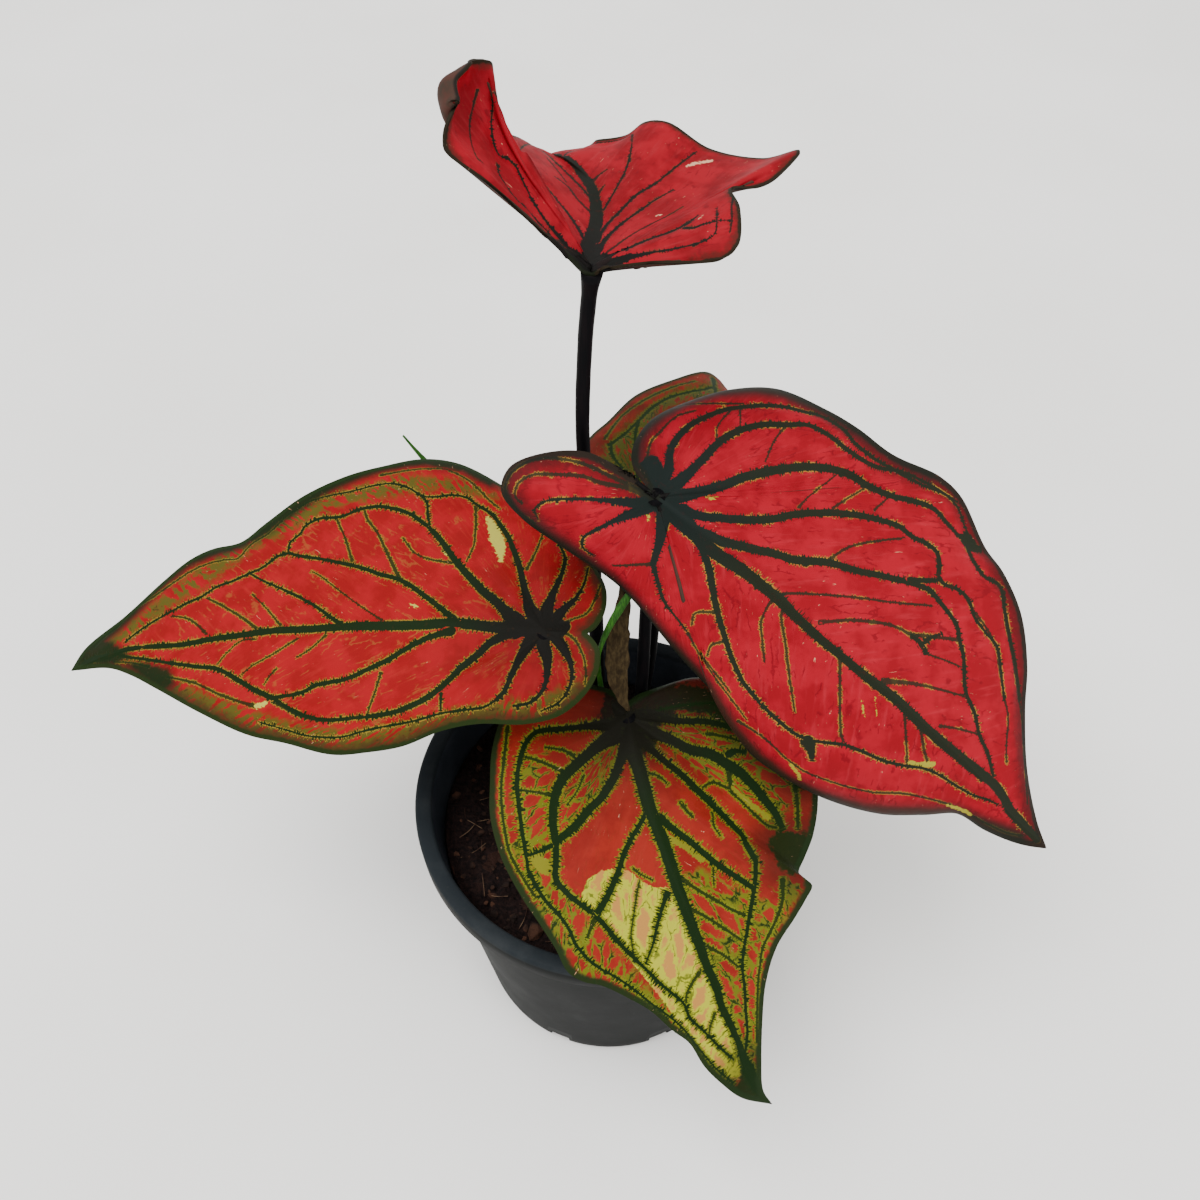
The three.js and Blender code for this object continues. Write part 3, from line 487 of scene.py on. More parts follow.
FINE_VEINS = {
    "right": [
        (2.5, 2, (652, 482), (645, 466), (647, 458), (651, 444), (664, 429), (676, 419), (696, 412)),
        (2.5, 2, (829, 560), (846, 549), (868, 543), (903, 539)),
        (2.5, 2, (780, 594), (811, 595), (852, 598), (893, 603), (933, 606)),
        (3, 3.5, (819, 623), (848, 621), (866, 622), (891, 626), (913, 635), (927, 636), (956, 640)),
        (4.5, 1.8, (883, 682), (895, 682), (924, 686), (966, 697)),
        (2, 2, (938, 726), (952, 728), (977, 734)),
        (1.6, 1.6, (924, 653), (942, 660), (960, 667)),
        (1.6, 1.6, (787, 425), (774, 442), (765, 462)),
        (1.6, 1.6, (798, 508), (815, 490), (835, 475)),
        (1.6, 1.6, (833, 508), (850, 497), (865, 487)),
        (1.6, 1.6, (873, 511), (882, 503), (890, 496)),
        (2.5, 2, (962, 592), (973, 611), (985, 627), (996, 647), (999, 672), (1003, 694), (1006, 719),
         (1004, 743), (1005, 764)),
        (2.5, 2.5, (1003, 592), (1005, 621), (1011, 651), (1015, 682), (1020, 713), (1022, 743),
         (1024, 774), (1026, 804)),
        (4, 1.8, (646, 493), (634, 488), (612, 477), (579, 463), (546, 459), (527, 463), (509, 477),
         (506, 492), (515, 507), (535, 522)),
        (5, 1.8, (648, 496), (627, 488), (601, 483), (583, 477), (557, 475), (531, 476), (518, 485),
         (516, 496), (523, 503)),
        (2.5, 2, (648, 478), (636, 463), (634, 446), (640, 428), (656, 415), (682, 408), (712, 405),
         (745, 404)),
        (1.6, 1.4, (740, 408), (740, 427)),
        (1.6, 1.4, (731, 410), (717, 429), (717, 441)),
        (2.5, 2, (704, 658), (717, 673), (731, 691)),
        (3, 2, (653, 564), (631, 564), (613, 564)),
        (2.5, 2, (778, 597), (771, 602), (762, 621), (763, 641), (765, 662)),
        (2.5, 2, (784, 603), (782, 617), (785, 637), (788, 662), (791, 686), (795, 711)),
        (3, 2.5, (840, 655), (840, 666), (840, 686), (840, 711), (841, 733), (844, 743)),
        (2.5, 2, (905, 708), (905, 721), (906, 743), (907, 764)),
        (2.5, 2.5, (919, 722), (921, 731), (924, 749), (928, 764)),
        (1.8, 1.8, (715, 612), (695, 613), (692, 625)),
        (1.8, 1.8, (725, 641), (712, 645), (708, 655)),
        (2.5, 2.5, (740, 719), (764, 735), (789, 758), (807, 770), (828, 778), (848, 785), (873, 791),
         (903, 792), (924, 796), (944, 801), (964, 809), (985, 821), (1005, 831), (1022, 835)),
        (2, 1.6, (688, 633), (700, 652), (716, 676), (731, 696), (748, 718)),
    ],
    "left": [
        (1.8, 1.6, (381, 476), (402, 473), (424, 471), (446, 471), (458, 476), (470, 483), (480, 492),
         (490, 502), (500, 510)),
        (2, 2, (300, 508), (290, 515), (270, 534), (253, 545), (239, 560), (224, 562), (207, 566),
         (191, 573), (170, 587), (154, 598), (133, 611), (120, 626), (106, 637), (96, 647)),
        (2, 1.6, (557, 626), (571, 621), (586, 615), (594, 602), (600, 586)),
        (2, 1.5, (476, 507), (476, 531), (474, 547), (467, 562)),
        (1.8, 1.5, (527, 570), (537, 551), (543, 535)),
        (1.8, 1.5, (451, 563), (431, 560), (416, 554), (404, 539)),
        (3, 2.2, (400, 580), (390, 558), (378, 533), (369, 521), (365, 511)),
        (2.2, 2, (353, 562), (347, 541), (337, 519)),
        (1.5, 1.2, (382, 621), (361, 607), (341, 592), (320, 576), (312, 572)),
        (2.4, 1.8, (257, 629), (244, 619), (226, 608), (207, 598)),
        (1.5, 1.2, (281, 626), (268, 610), (253, 595)),
        (2, 1.5, (207, 634), (194, 622), (183, 618), (172, 617)),
        (1.8, 1.8, (382, 672), (376, 692), (368, 714)),
        (2.5, 2, (255, 706), (235, 700), (217, 693), (198, 684), (183, 680), (168, 677)),
        (1.5, 1.2, (150, 667), (133, 663), (115, 662)),
        (1.6, 1.3, (327, 635), (313, 648), (298, 658)),
        (1.6, 1.3, (257, 639), (242, 641), (228, 654), (218, 665)),
        (1.6, 1.3, (298, 639), (272, 656), (253, 667), (242, 676)),
        (1.4, 1.2, (278, 669), (270, 678), (265, 685)),
        (2, 1.5, (557, 629), (574, 639), (583, 654), (586, 670), (585, 684)),
        (1.5, 1.3, (318, 720), (300, 716), (272, 702)),
    ],
    "front": [
        (2.5, 2.5, (508, 728), (505, 756), (502, 783), (502, 806), (505, 831), (510, 853), (522, 876),
         (535, 897)),
        (1.4, 1.2, (639, 881), (636, 897), (633, 919), (631, 935), (635, 960)),
        (2.2, 2, (701, 970), (693, 981), (687, 993), (686, 1003)),
        (1.6, 1.4, (715, 1012), (710, 1027), (709, 1036)),
        (2.2, 1.6, (573, 756), (563, 751), (546, 748)),
        (2.6, 2.4, (561, 771), (543, 763), (525, 757)),
        (2.2, 2, (551, 795), (533, 792), (520, 790)),
        (2.6, 2.2, (594, 919), (590, 929), (586, 939)),
        (2.2, 2, (707, 734), (732, 739), (745, 744)),
        (2, 1.8, (640, 718), (661, 710), (692, 705), (716, 704)),
        (3.2, 2, (729, 773), (729, 788), (713, 783), (701, 788)),
        (2.6, 2.6, (730, 791), (741, 802), (753, 814), (765, 825), (776, 828)),
        (3, 2.5, (683, 881), (698, 891), (716, 901), (732, 910), (744, 915)),
        (2.8, 2.2, (690, 909), (710, 920), (727, 931), (741, 940)),
        (2.4, 2, (707, 947), (722, 955), (738, 967)),
        (3, 2.2, (782, 880), (782, 897), (779, 909), (770, 930), (762, 947), (759, 966), (757, 987),
         (756, 1018), (756, 1041)),
        (3, 3, (794, 786), (797, 805), (797, 828)),
        (1.6, 1.4, (712, 813), (713, 825), (721, 837)),
        (2.4, 2, (680, 803), (685, 810), (692, 817)),
        (1.6, 1.4, (648, 773), (658, 777), (667, 785)),
        (1.4, 1.4, (713, 866), (713, 876), (713, 886)),
        (1.4, 1.2, (583, 776), (577, 790), (566, 806)),
        (1.4, 1.2, (632, 868), (640, 874), (652, 880)),
    ],
    "top": [
        (2.2, 2, (590, 212), (578, 203), (567, 190), (554, 180)),
        (2, 1.6, (476, 89), (471, 107), (468, 120), (468, 142), (473, 158), (481, 166)),
        (3, 1.4, (599, 259), (611, 252), (632, 238), (650, 228), (669, 218), (685, 208)),
        (2, 1.6, (735, 193), (732, 208), (732, 221), (730, 234)),
        (2.6, 1.2, (593, 182), (601, 176), (609, 171)),
        (2.4, 1.2, (598, 195), (605, 188)),
        (1.6, 1.4, (547, 160), (557, 172), (566, 186)),
    ],
    "back": [
        (1.8, 1.4, (605, 440), (622, 418), (642, 403), (668, 390), (695, 383)),
    ],
}
# Pale streaks and spots, laid in the same way
PALE_MARKS = {
    "right": [
        (5, 8, (910, 762), (920, 764), (931, 763)),
        (5, 4, (792, 763), (798, 770), (801, 777)),
        (3, 7, (946, 803), (958, 806), (970, 812)),
        (3, 2, (706, 498), (710, 500), (716, 499)),
        (0.8, 0.5, (861, 697), (864, 715)),
        (0.8, 0.5, (875, 697), (877, 715)),
        (3, 2, (646, 512), (648, 517), (647, 521)),
    ],
    "left": [
        (6, 15, (489, 520), (493, 528), (497, 540)),
        (15, 4, (497, 540), (500, 549), (501, 562)),
        (4, 3, (412, 606), (417, 608)),
        (3, 3, (445, 552), (448, 556)),
        (4, 6, (257, 707), (266, 703)),
    ],
    "front": [
        (13, 14, (537, 860), (546, 868)),
        (6, 10, (668, 838), (684, 846), (702, 858)),
        (4, 7, (732, 788), (750, 804), (768, 818)),
        (3, 3, (636, 756), (640, 762)),
    ],
    "top": [
        (4, 4, (687, 167), (698, 165), (712, 163)),
        (3, 3, (659, 219), (661, 218)),
        (4, 3, (700, 219), (702, 217)),
    ],
}
# Areas, as outlines in the frame
PALE_AREAS = {
    "front": [
        [(582, 893), (587, 880), (600, 871), (619, 868), (629, 871), (642, 882), (656, 888), (668, 887),
         (677, 900), (690, 928), (702, 955), (714, 985), (728, 1020), (742, 1052), (746, 1070),
         (738, 1080), (722, 1074), (704, 1058), (688, 1038), (676, 1018), (660, 996), (632, 962),
         (607, 928), (594, 914), (582, 903)],
    ],
}
OLIVE_AREAS = {
    "right": [
        [(676, 600), (700, 560), (745, 600), (800, 650), (850, 690), (900, 735), (1010, 824), (1000, 836),
         (880, 806), (800, 780), (730, 716), (690, 650)],
    ],
    "front": [
        [(676, 880), (700, 868), (760, 900), (788, 876), (806, 880), (790, 910), (770, 950), (766, 1000),
         (768, 1060), (752, 1064), (730, 1020), (700, 940)],
        [(516, 760), (546, 752), (552, 800), (552, 880), (572, 902), (600, 940), (650, 985), (690, 1030),
         (720, 1070), (690, 1060), (600, 990), (560, 960), (520, 890), (508, 830)],
        [(640, 700), (760, 700), (800, 780), (776, 830), (740, 800), (680, 760), (644, 740)],
        [(606, 738), (624, 748), (600, 800), (556, 836), (560, 800), (590, 756)],
    ],
    "left": [
        [(80, 668), (120, 632), (180, 585), (250, 535), (330, 494), (400, 476), (470, 482), (500, 500),
         (440, 490), (340, 506), (260, 548), (190, 596), (130, 640)],
        [(150, 668), (200, 690), (250, 710), (300, 724), (350, 730), (400, 724), (440, 712), (490, 702),
         (540, 696), (575, 682), (602, 700), (570, 728), (530, 742), (480, 742), (440, 750), (400, 763),
         (366, 771), (330, 772), (285, 761), (247, 752), (200, 731), (150, 706)],
    ],
    "back": [
        [(596, 470), (606, 446), (640, 416), (672, 392), (706, 384), (720, 388), (720, 404), (690, 400),
         (655, 414), (645, 440), (645, 480)],
    ],
}
DARK_AREAS = {
    "right": [
        [(498, 496), (512, 520), (535, 534), (561, 551), (585, 568), (608, 586), (634, 611), (660, 641),
         (686, 667), (708, 693), (732, 731), (757, 763), (787, 784), (824, 801), (860, 812), (897, 816),
         (951, 816), (985, 830), (1023, 845), (1023, 834), (988, 820), (952, 806), (897, 806), (862, 802),
         (826, 791), (790, 774), (762, 754), (738, 724), (714, 685), (692, 660), (667, 634), (641, 604),
         (614, 578), (589, 559), (565, 542), (539, 525), (518, 512), (508, 496)],
        [(628, 462), (630, 438), (640, 422), (658, 408), (683, 395), (717, 384), (755, 382), (787, 387),
         (824, 402), (862, 424), (900, 446), (936, 469), (930, 478), (894, 456), (856, 434), (819, 412),
         (783, 398), (755, 393), (719, 395), (687, 406), (664, 418), (648, 431), (640, 443), (638, 460)],
    ],
    "front": [
        [(776, 828), (814, 836), (816, 849), (803, 872), (790, 878), (776, 866), (766, 843)],
        [(744, 1062), (756, 1078), (764, 1090), (772, 1106), (752, 1102), (736, 1094), (724, 1086),
         (736, 1082)],
        # Painted shade: this outline darkens the front blade by its stalk and along the right blade's edge,
        # where the right blade shades it
        [(606, 694), (650, 680), (716, 690), (760, 722), (806, 786), (800, 792), (750, 745), (712, 716),
         (680, 712), (662, 724), (656, 742), (644, 756), (628, 752), (612, 742), (604, 732), (600, 720),
         (602, 706)],
    ],
    "left": [
        [(68, 674), (84, 652), (98, 641), (110, 642), (122, 650), (130, 656), (116, 663), (96, 664),
         (80, 671)],
        [(130, 664), (148, 664), (168, 670), (176, 684), (164, 688), (146, 678)],
        [(70, 664), (96, 633), (129, 604), (158, 572), (182, 554), (224, 542), (258, 525), (287, 505),
         (316, 484), (346, 471), (381, 459), (423, 455), (466, 461), (496, 477), (490, 487), (462, 472),
         (423, 466), (383, 470), (350, 482), (322, 495), (293, 516), (264, 536), (228, 553), (188, 565),
         (166, 581), (137, 613), (106, 642), (80, 668)],
    ],
}

# Veins that the camera doesn't see, in the blade's own terms: half, width at each end in millimetres, and
# places as share of the margin from the tip and share of the way from midrib to margin
COLLECTING_LINE = 0.88
UNSEEN_VEINS = {
    "top": [
        ("left", 1.8, 0.8, (0.46, 0), (0.3, 0), (0.15, 0), (0.02, 0)),
        ("right", 0.9, 0.5, (0.36, 0), (0.34, 0.4), (0.3, 0.84)),
        ("right", 0.9, 0.5, (0.24, 0), (0.22, 0.4), (0.19, 0.84)),
        ("left", 0.9, 0.5, (0.24, 0), (0.22, 0.4), (0.19, 0.84)),
        ("left", 0.6, 0.4, (0.3, 0.86), (0.2, 0.86), (0.1, 0.86), (0.03, 0.8)),
        ("right", 0.6, 0.4, (0.3, 0.86), (0.2, 0.86), (0.1, 0.86), (0.03, 0.8)),
    ],
    "back": [("left", 3.2, 1.2, (0.46, 0), (0.3, 0), (0.15, 0), (0.02, 0))],
}
BACK_LATERALS = (0.12, 0.2, 0.29, 0.38, 0.47, 0.57, 0.68, 0.8)
BACK_LATERAL_WIDTHS = (1.7, 0.8)
BACK_LATERAL_REACH = {"left": 0.6, "right": COLLECTING_LINE}
BACK_COLLECTING_WIDTHS = (1.2, 0.8)
BACK_COLLECTING_STEPS = [0.03 + 0.115 * i for i in range(9)]

# Seen lines are sampled every LINE_STEP pixels, break where they jump, and flare where they start
LINE_STEP = 1.3
LINE_JUMP = 5
FLARE = 0.7
FLARE_REACH = 2
SHEET_LINE_STEPS = 120
# How far round a place its nearest line is looked for, and into how many parts the rim's edges are cut
LINE_REACH = 3.2
RIM_PARTS = 4
# The measures of a blade that has no such line or area
NO_LINE = Vector((99, 0, 0))
NO_AREA = -20

# How a blade swells between its veins, ripples and is thickest on them
SWELL = 0.75
SWELL_REACH = 2.6
SWELL_SINK = 0.25
RIM_REACH = 7
RIPPLE = 0.5
RIPPLE_LENGTH = 17
RIB_REACH = 0.9
THICK_RIB = 2.0

# ---------------------------------------------------------------- routes and blades


def clamped(share):
    return min(max(share, 0), 1)


class Track:
    """A smooth route through rows x, y, z, followed by its length, that carries their further columns."""

    DIVISIONS = 400
    SHORTEST = 1e-6

    def __init__(self, rows):
        self.rows = rows
        self.knots = [Vector((*row[:2], row[2] if len(row) > 2 else 0)) for row in rows]
        self.shares = [0.0]
        before = self.knots[0]
        for step in range(1, self.DIVISIONS + 1):
            place = self.at_knot(step / self.DIVISIONS * (len(rows) - 1))
            self.shares.append(self.shares[-1] + (place - before).length)
            before = place
        self.length = self.shares[-1]

    def at_knot(self, k):
        i = min(int(k), len(self.knots) - 2)
        near, far = self.knots[i], self.knots[i + 1]
        before = self.knots[i - 1] if i else near * 2 - far
        after = self.knots[i + 2] if i + 2 < len(self.knots) else far * 2 - near
        pairs = ((before, near), (near, far), (far, after))
        back, span, on = [max((b - a).length, self.SHORTEST) ** 0.5 for a, b in pairs]
        start = (near - before) / back - (far - before) / (back + span) + (far - near) / span
        end = (far - near) / span - (after - near) / (span + on) + (after - far) / on
        x = k - i
        bend = start * (span * (x ** 3 - 2 * x ** 2 + x)) + end * (span * (x ** 3 - x ** 2))
        return near * (2 * x ** 3 - 3 * x ** 2 + 1) + far * (3 * x ** 2 - 2 * x ** 3) + bend

    def knot_at(self, share):
        reach = clamped(share) * self.length
        i = min(bisect_right(self.shares, reach) - 1, self.DIVISIONS - 1)
        span = self.shares[i + 1] - self.shares[i]
        part = (reach - self.shares[i]) / span if span > 0 else 0
        return (i + part) / self.DIVISIONS * (len(self.rows) - 1)

    def point(self, share):
        return self.at_knot(self.knot_at(share))

    def tangent(self, share):
        step = 2e-3
        return (self.point(share + step) - self.point(share - step)).normalized()

    def column(self, share, index):
        k = self.knot_at(share)
        i = min(int(k), len(self.rows) - 2)
        ends = [row[index] if len(row) > index else 0 for row in self.rows[i:i + 2]]
        return ends[0] + (ends[1] - ends[0]) * (k - i)


class Rib:
    """The line across a half blade that ends at s along its margin."""

    def __init__(self, half, s):
        share = min(s / half.fan, 1)
        self.root = half.midrib.point(share ** MIDRIB_SWEEP) if share < 1 else Vector()
        reach = half.margin.point(s) - self.root
        self.length = reach.length
        self.way = reach.normalized()
        step = 1e-3
        along = half.margin.point(s + step) - half.margin.point(s - step)
        self.lift = self.way.cross(along).normalized() * half.up
        self.curl = radians(half.margin.column(s, 4))
        self.hem = min(HEM_WIDTH * min(self.curl / HEM_TURN, 1), self.length / 2)
        self.bow = self.lift * half.margin.column(s, 3)
        self.lean = Vector((half.margin.column(s, 5), 0, 0))

    def point(self, t):
        reach = t * self.length
        flat = min(reach, self.length - self.hem)
        rest = reach - flat
        place = self.root + self.way * flat
        if rest > 0 and self.curl > 1e-3:
            radius = self.hem / self.curl
            angle = rest / radius
            place += self.way * (radius * sin(angle)) + self.lift * (radius * (1 - cos(angle)))
        else:
            place += self.way * rest
        return place + (self.bow + self.lean) * (BOW_SCALE * t * t * (1 - t))


def placing(leaf):
    """From a blade's own frame in millimetres to the plant's in metres."""
    roll_pitch_heading = [radians(angle) for angle in reversed(leaf["turn"])]
    scale = Vector((MM, MM, MM))
    return Matrix.LocRotScale(Vector(leaf["at"]) * MM, Euler(roll_pitch_heading, "XYZ"), scale)


def blade_rows(leaf, edge):
    """A midrib or margin in its blade's own frame. A drawn place is where its line of sight meets the plane
    at its lift above the blade's, to the nearest millimetre."""
    if "drawn" not in leaf:
        return leaf[edge]
    into_leaf = placing(leaf).inverted()
    eye = into_leaf @ CAMERA_PLACE
    rows = []
    for x, y, lift, *columns in leaf[edge]:
        way = into_leaf.to_3x3() @ sight(x, y)
        spot = eye + way * ((lift - eye.z) / way.z)
        rows.append((round(spot.x), round(spot.y), lift, *columns))
    return rows


class Half:
    """One half of a blade, from its midrib and stalk to a margin."""

    def __init__(self, leaf, side):
        self.fan = leaf["fan"][side]
        self.midrib = Track(blade_rows(leaf, "midrib"))
        self.margin = Track(blade_rows(leaf, side))
        self.up = 1 if side == "left" else -1
        self.ribs = {}

    def margin_share(self, place):
        """Where the rib ends that has a place from 0 to 1 in the row of ribs."""
        if place < FAN_RIBS:
            return place / FAN_RIBS * self.fan
        return self.fan + (place - FAN_RIBS) / (1 - FAN_RIBS) * (1 - self.fan)

    def rib(self, s):
        key = round(s, 6)
        if key not in self.ribs:
            self.ribs[key] = Rib(self, s)
        return self.ribs[key]


def blade_sheet(leaf, halves, divisions):
    """The blade's middle surface, both halves welded, with each vertex's place in the blade in a layer."""
    bm = bmesh.new()
    layer = bm.verts.layers.float_vector.new("sheet")
    place = placing(leaf)
    for side, half in halves.items():
        grid = bmesh.ops.create_grid(bm, x_segments=divisions[0], y_segments=divisions[1], size=0.5)
        for vert in grid["verts"]:
            s = half.margin_share(vert.co.x + 0.5)
            t = 1 - (0.5 - vert.co.y) ** RIB_SPREAD
            rib = half.rib(s)
            vert[layer] = Vector((s * half.margin.length, t * rib.length, (1 - t) * rib.length))
            vert.co = place @ rib.point(t)
        if side == "left":
            faces = {face for vert in grid["verts"] for face in vert.link_faces}
            bmesh.ops.reverse_faces(bm, faces=list(faces))
    bmesh.ops.remove_doubles(bm, verts=bm.verts, dist=WELD * MM)
    bmesh.ops.dissolve_degenerate(bm, dist=SLIVER * MM, edges=bm.edges)
    bm.normal_update()
    return bm


def write_rim(bm):
    """Puts each vertex's distance from the blade's edge, in millimetres, third in the sheet layer."""
    layer = bm.verts.layers.float_vector["sheet"]
    edges = [edge for edge in bm.edges if edge.is_boundary]
    tree = KDTree(len(edges) * RIM_PARTS)
    for i, edge in enumerate(edges):
        for part in range(RIM_PARTS):
            place = edge.verts[0].co.lerp(edge.verts[1].co, part / RIM_PARTS)
            tree.insert(place, i * RIM_PARTS + part)
    tree.balance()
    for vert in bm.verts:
        margin_run, rib_run, _ = vert[layer]
        vert[layer] = Vector((margin_run, rib_run, tree.find(vert.co)[2] / MM))


class Lines:
    """Lines laid on a blade, and the distance of any place to the nearest of them."""

    def __init__(self):
        self.spots = []
        self.tree = None

    def add(self, places, halves):
        """A line through places in metres, with its half width in millimetres at each."""
        if len(places) < 2:
            return
        along = 0
        for i, (place, half) in enumerate(zip(places, halves)):
            before = places[max(i - 1, 0)]
            after = places[min(i + 1, len(places) - 1)]
            end = -1 if i == 0 else 1 if i == len(places) - 1 else 0
            along += (place - before).length / MM
            self.spots.append((place, (after - before).normalized(), half, along, end))

    def close(self):
        self.tree = KDTree(len(self.spots))
        for i, spot in enumerate(self.spots):
            self.tree.insert(spot[0], i)
        self.tree.balance()

    def nearest(self, place):
        """The spot whose line has its edge nearest to a place, and how far the place is from that spot."""
        near = self.tree.find_range(place, LINE_REACH * MM) or [self.tree.find(place)]
        found = min(near, key=lambda one: one[2] / MM - self.spots[one[1]][2])
        return self.spots[found[1]], found[2] / MM

    def gap(self, place):
        """How far a place is from the nearest line's edge, in millimetres; 0 within the line."""
        spot, distance = self.nearest(place)
        return max(distance - spot[2], 0)

    def measure(self, face, layer):
        """Writes to each corner of a face its signed distance, the line's half width and how far along."""
        middle = face.calc_center_median()
        (place, way, half, along, end), _ = self.nearest(middle)
        beyond = end * (middle - place).dot(way) > 0
        side = face.normal.cross(way)
        for loop in face.loops:
            offset = loop.vert.co - place
            forward = offset.dot(way)
            across = offset if beyond else offset - way * forward
            distance = across.length / MM
            if across.dot(side) < 0 and not beyond:
                distance = -distance
            loop[layer] = Vector((distance, half, along + forward / MM))

    def write(self, bm, name):
        """Puts the lines' measures in a layer of the blade's corners."""
        layer = bm.loops.layers.float_vector.new(name)
        if self.spots:
            self.close()
        for face in bm.faces:
            if self.spots:
                self.measure(face, layer)
            else:
                for loop in face.loops:
                    loop[layer] = NO_LINE


def seen_line(tree, wide, narrow, points, flare):
    """The runs of places where the camera sees a line of the frame on the blade, and their half widths."""
    track = Track(points)
    steps = max(int(track.length / LINE_STEP), 2)
    places, halves = [], []
    for i in range(steps + 1):
        share = i / steps
        spot = track.point(share)
        place = tree.ray_cast(CAMERA_PLACE, sight(spot.x, spot.y))[0]
        if place is None:
            continue
        if places and (place - places[-1]).length > LINE_JUMP * MM:
            yield places, halves
            places, halves = [], []
        scale = pixel_width(place)
        swelling = 1 + flare * exp(-share * track.length * scale / FLARE_REACH)
        places.append(place)
        halves.append((wide + (narrow - wide) * share) / 2 * scale * swelling)
    yield places, halves


def sheet_line(leaf, half, wide, narrow, points):
    """A line given in the blade's own terms."""
    track = Track(points)
    place = placing(leaf)
    places, halves = [], []
    for i in range(SHEET_LINE_STEPS + 1):
        spot = track.point(i / SHEET_LINE_STEPS)
        places.append(place @ half.rib(clamped(spot.x)).point(clamped(spot.y)))
        halves.append((wide + (narrow - wide) * i / SHEET_LINE_STEPS) / 2)
    return places, halves


def unseen_lines(name):
    """The blade's unseen veins; the back blade's are worked out in a loop."""
    lines = list(UNSEEN_VEINS.get(name, []))
    if name == "back":
        for side, reach in BACK_LATERAL_REACH.items():
            for s in BACK_LATERALS:
                points = (s + 0.02, 0), (s + 0.01, reach / 2), (s - 0.02, reach)
                lines.append((side, *BACK_LATERAL_WIDTHS, *points))
        points = [(s, COLLECTING_LINE) for s in BACK_COLLECTING_STEPS]
        lines.append(("right", *BACK_COLLECTING_WIDTHS, *points))
    return lines


def blade_lines(name, halves, tree):
    """The blade's main veins, fine veins and pale marks."""
    kinds = {}
    for kind, table in (("vein", MAIN_VEINS), ("fine", FINE_VEINS), ("pale", PALE_MARKS)):
        kinds[kind] = Lines()
        rows = table.get(name, [])
        ends = [row[-1] for row in rows]
        for wide, narrow, *points in rows:
            flare = 0 if kind == "pale" or points[0] in ends else FLARE
            for places, widths in seen_line(tree, wide, narrow, points, flare):
                kinds[kind].add(places, widths)
    for side, wide, narrow, *points in unseen_lines(name):
        kinds["vein"].add(*sheet_line(LEAVES[name], halves[side], wide, narrow, points))
    return kinds


def inside(outline, x, y):
    """Signed distance of a place in the frame to an outline, positive inside."""
    within = False
    nearest = inf
    for (x0, y0), (x1, y1) in zip(outline, outline[1:] + outline[:1]):
        if (y0 > y) != (y1 > y) and x < x0 + (x1 - x0) * (y - y0) / (y1 - y0):
            within = not within
        dx, dy = x1 - x0, y1 - y0
        share = clamped(((x - x0) * dx + (y - y0) * dy) / (dx * dx + dy * dy))
        nearest = min(nearest, hypot(x - x0 - dx * share, y - y0 - dy * share))
    return nearest if within else -nearest


def area_depth(outlines, place):
    """How far a place lies inside the nearest of some outlines, in millimetres."""
    if not outlines:
        return NO_AREA
    x, y = in_frame(place)
    return max(inside(outline, x, y) for outline in outlines) * pixel_width(place)


def write_areas(bm, name):
    """Puts how deep each vertex lies in the pale, olive and dark areas in a layer."""
    area = bm.verts.layers.float_vector.new("area")
    outlines = [table.get(name) for table in (PALE_AREAS, OLIVE_AREAS, DARK_AREAS)]
    for vert in bm.verts:
        vert[area] = Vector([area_depth(kept, vert.co) for kept in outlines])


def swell(bm, veins):
    """Lifts the sheet to its outer face, higher between the veins, and marks how thick it is on them."""
    sheet = bm.verts.layers.float_vector["sheet"]
    group = bm.verts.layers.deform.new("thickness")
    for vert in bm.verts:
        gap = veins.gap(vert.co)
        rim = min(vert[sheet][2] / RIM_REACH, 1)
        rise = SWELL * (1 - exp(-gap / SWELL_REACH)) - SWELL_SINK * SWELL
        ripple = RIPPLE * noise.noise(vert.co / (RIPPLE_LENGTH * MM))
        on_rib = exp(-(gap / RIB_REACH) ** 2)
        vert[group][0] = (1 + (THICK_RIB - 1) * on_rib * rim) / THICK_RIB
        vert.co += vert.normal * ((rise + ripple) * rim + BLADE_THICKNESS / 2) * MM


def blade(name):
    """A leaf blade: its sheet, swollen between the veins, with its marks in layers, and a thickness."""
    leaf = LEAVES[name]
    halves = {side: Half(leaf, side) for side in ("left", "right")}
    bm = blade_sheet(leaf, halves, BLADE_GRIDS[name])
    write_rim(bm)
    kinds = blade_lines(name, halves, BVHTree.FromBMesh(bm))
    write_areas(bm, name)
    for kind, lines in kinds.items():
        lines.write(bm, kind)
    swell(bm, kinds["vein"])
    for edge in bm.edges:
        edge.smooth = not edge.is_boundary
    obj = to_object(bm, "leaf_" + name, [blade_face(name), blade_back(name)])
    obj.vertex_groups.new(name="thickness")
    shell = obj.modifiers.new("thickness", "SOLIDIFY")
    shell.thickness = BLADE_THICKNESS * THICK_RIB * MM
    shell.offset = -1
    shell.vertex_group = "thickness"
    shell.material_offset = 1
    return carry(obj, "leaf_blade", "blade_" + name)


def to_object(bm, name, materials):
    """A smooth-shaded object from a bmesh, which is freed."""
    mesh = bpy.data.meshes.new(name)
    for face in bm.faces:
        face.smooth = True
    bm.to_mesh(mesh)
    bm.free()
    for material in materials:
        mesh.materials.append(material)
    obj = bpy.data.objects.new(name, mesh)
    bpy.context.scene.collection.objects.link(obj)
    return obj


def carry(obj, slot, *nodes):
    """The piece goes with the root body and stands for the nodes, which are hidden; the slot is not used.
    """
    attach(obj, "root")
    if nodes:
        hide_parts(*nodes)
    return obj


# ---------------------------------------------------------------- stalks and strips


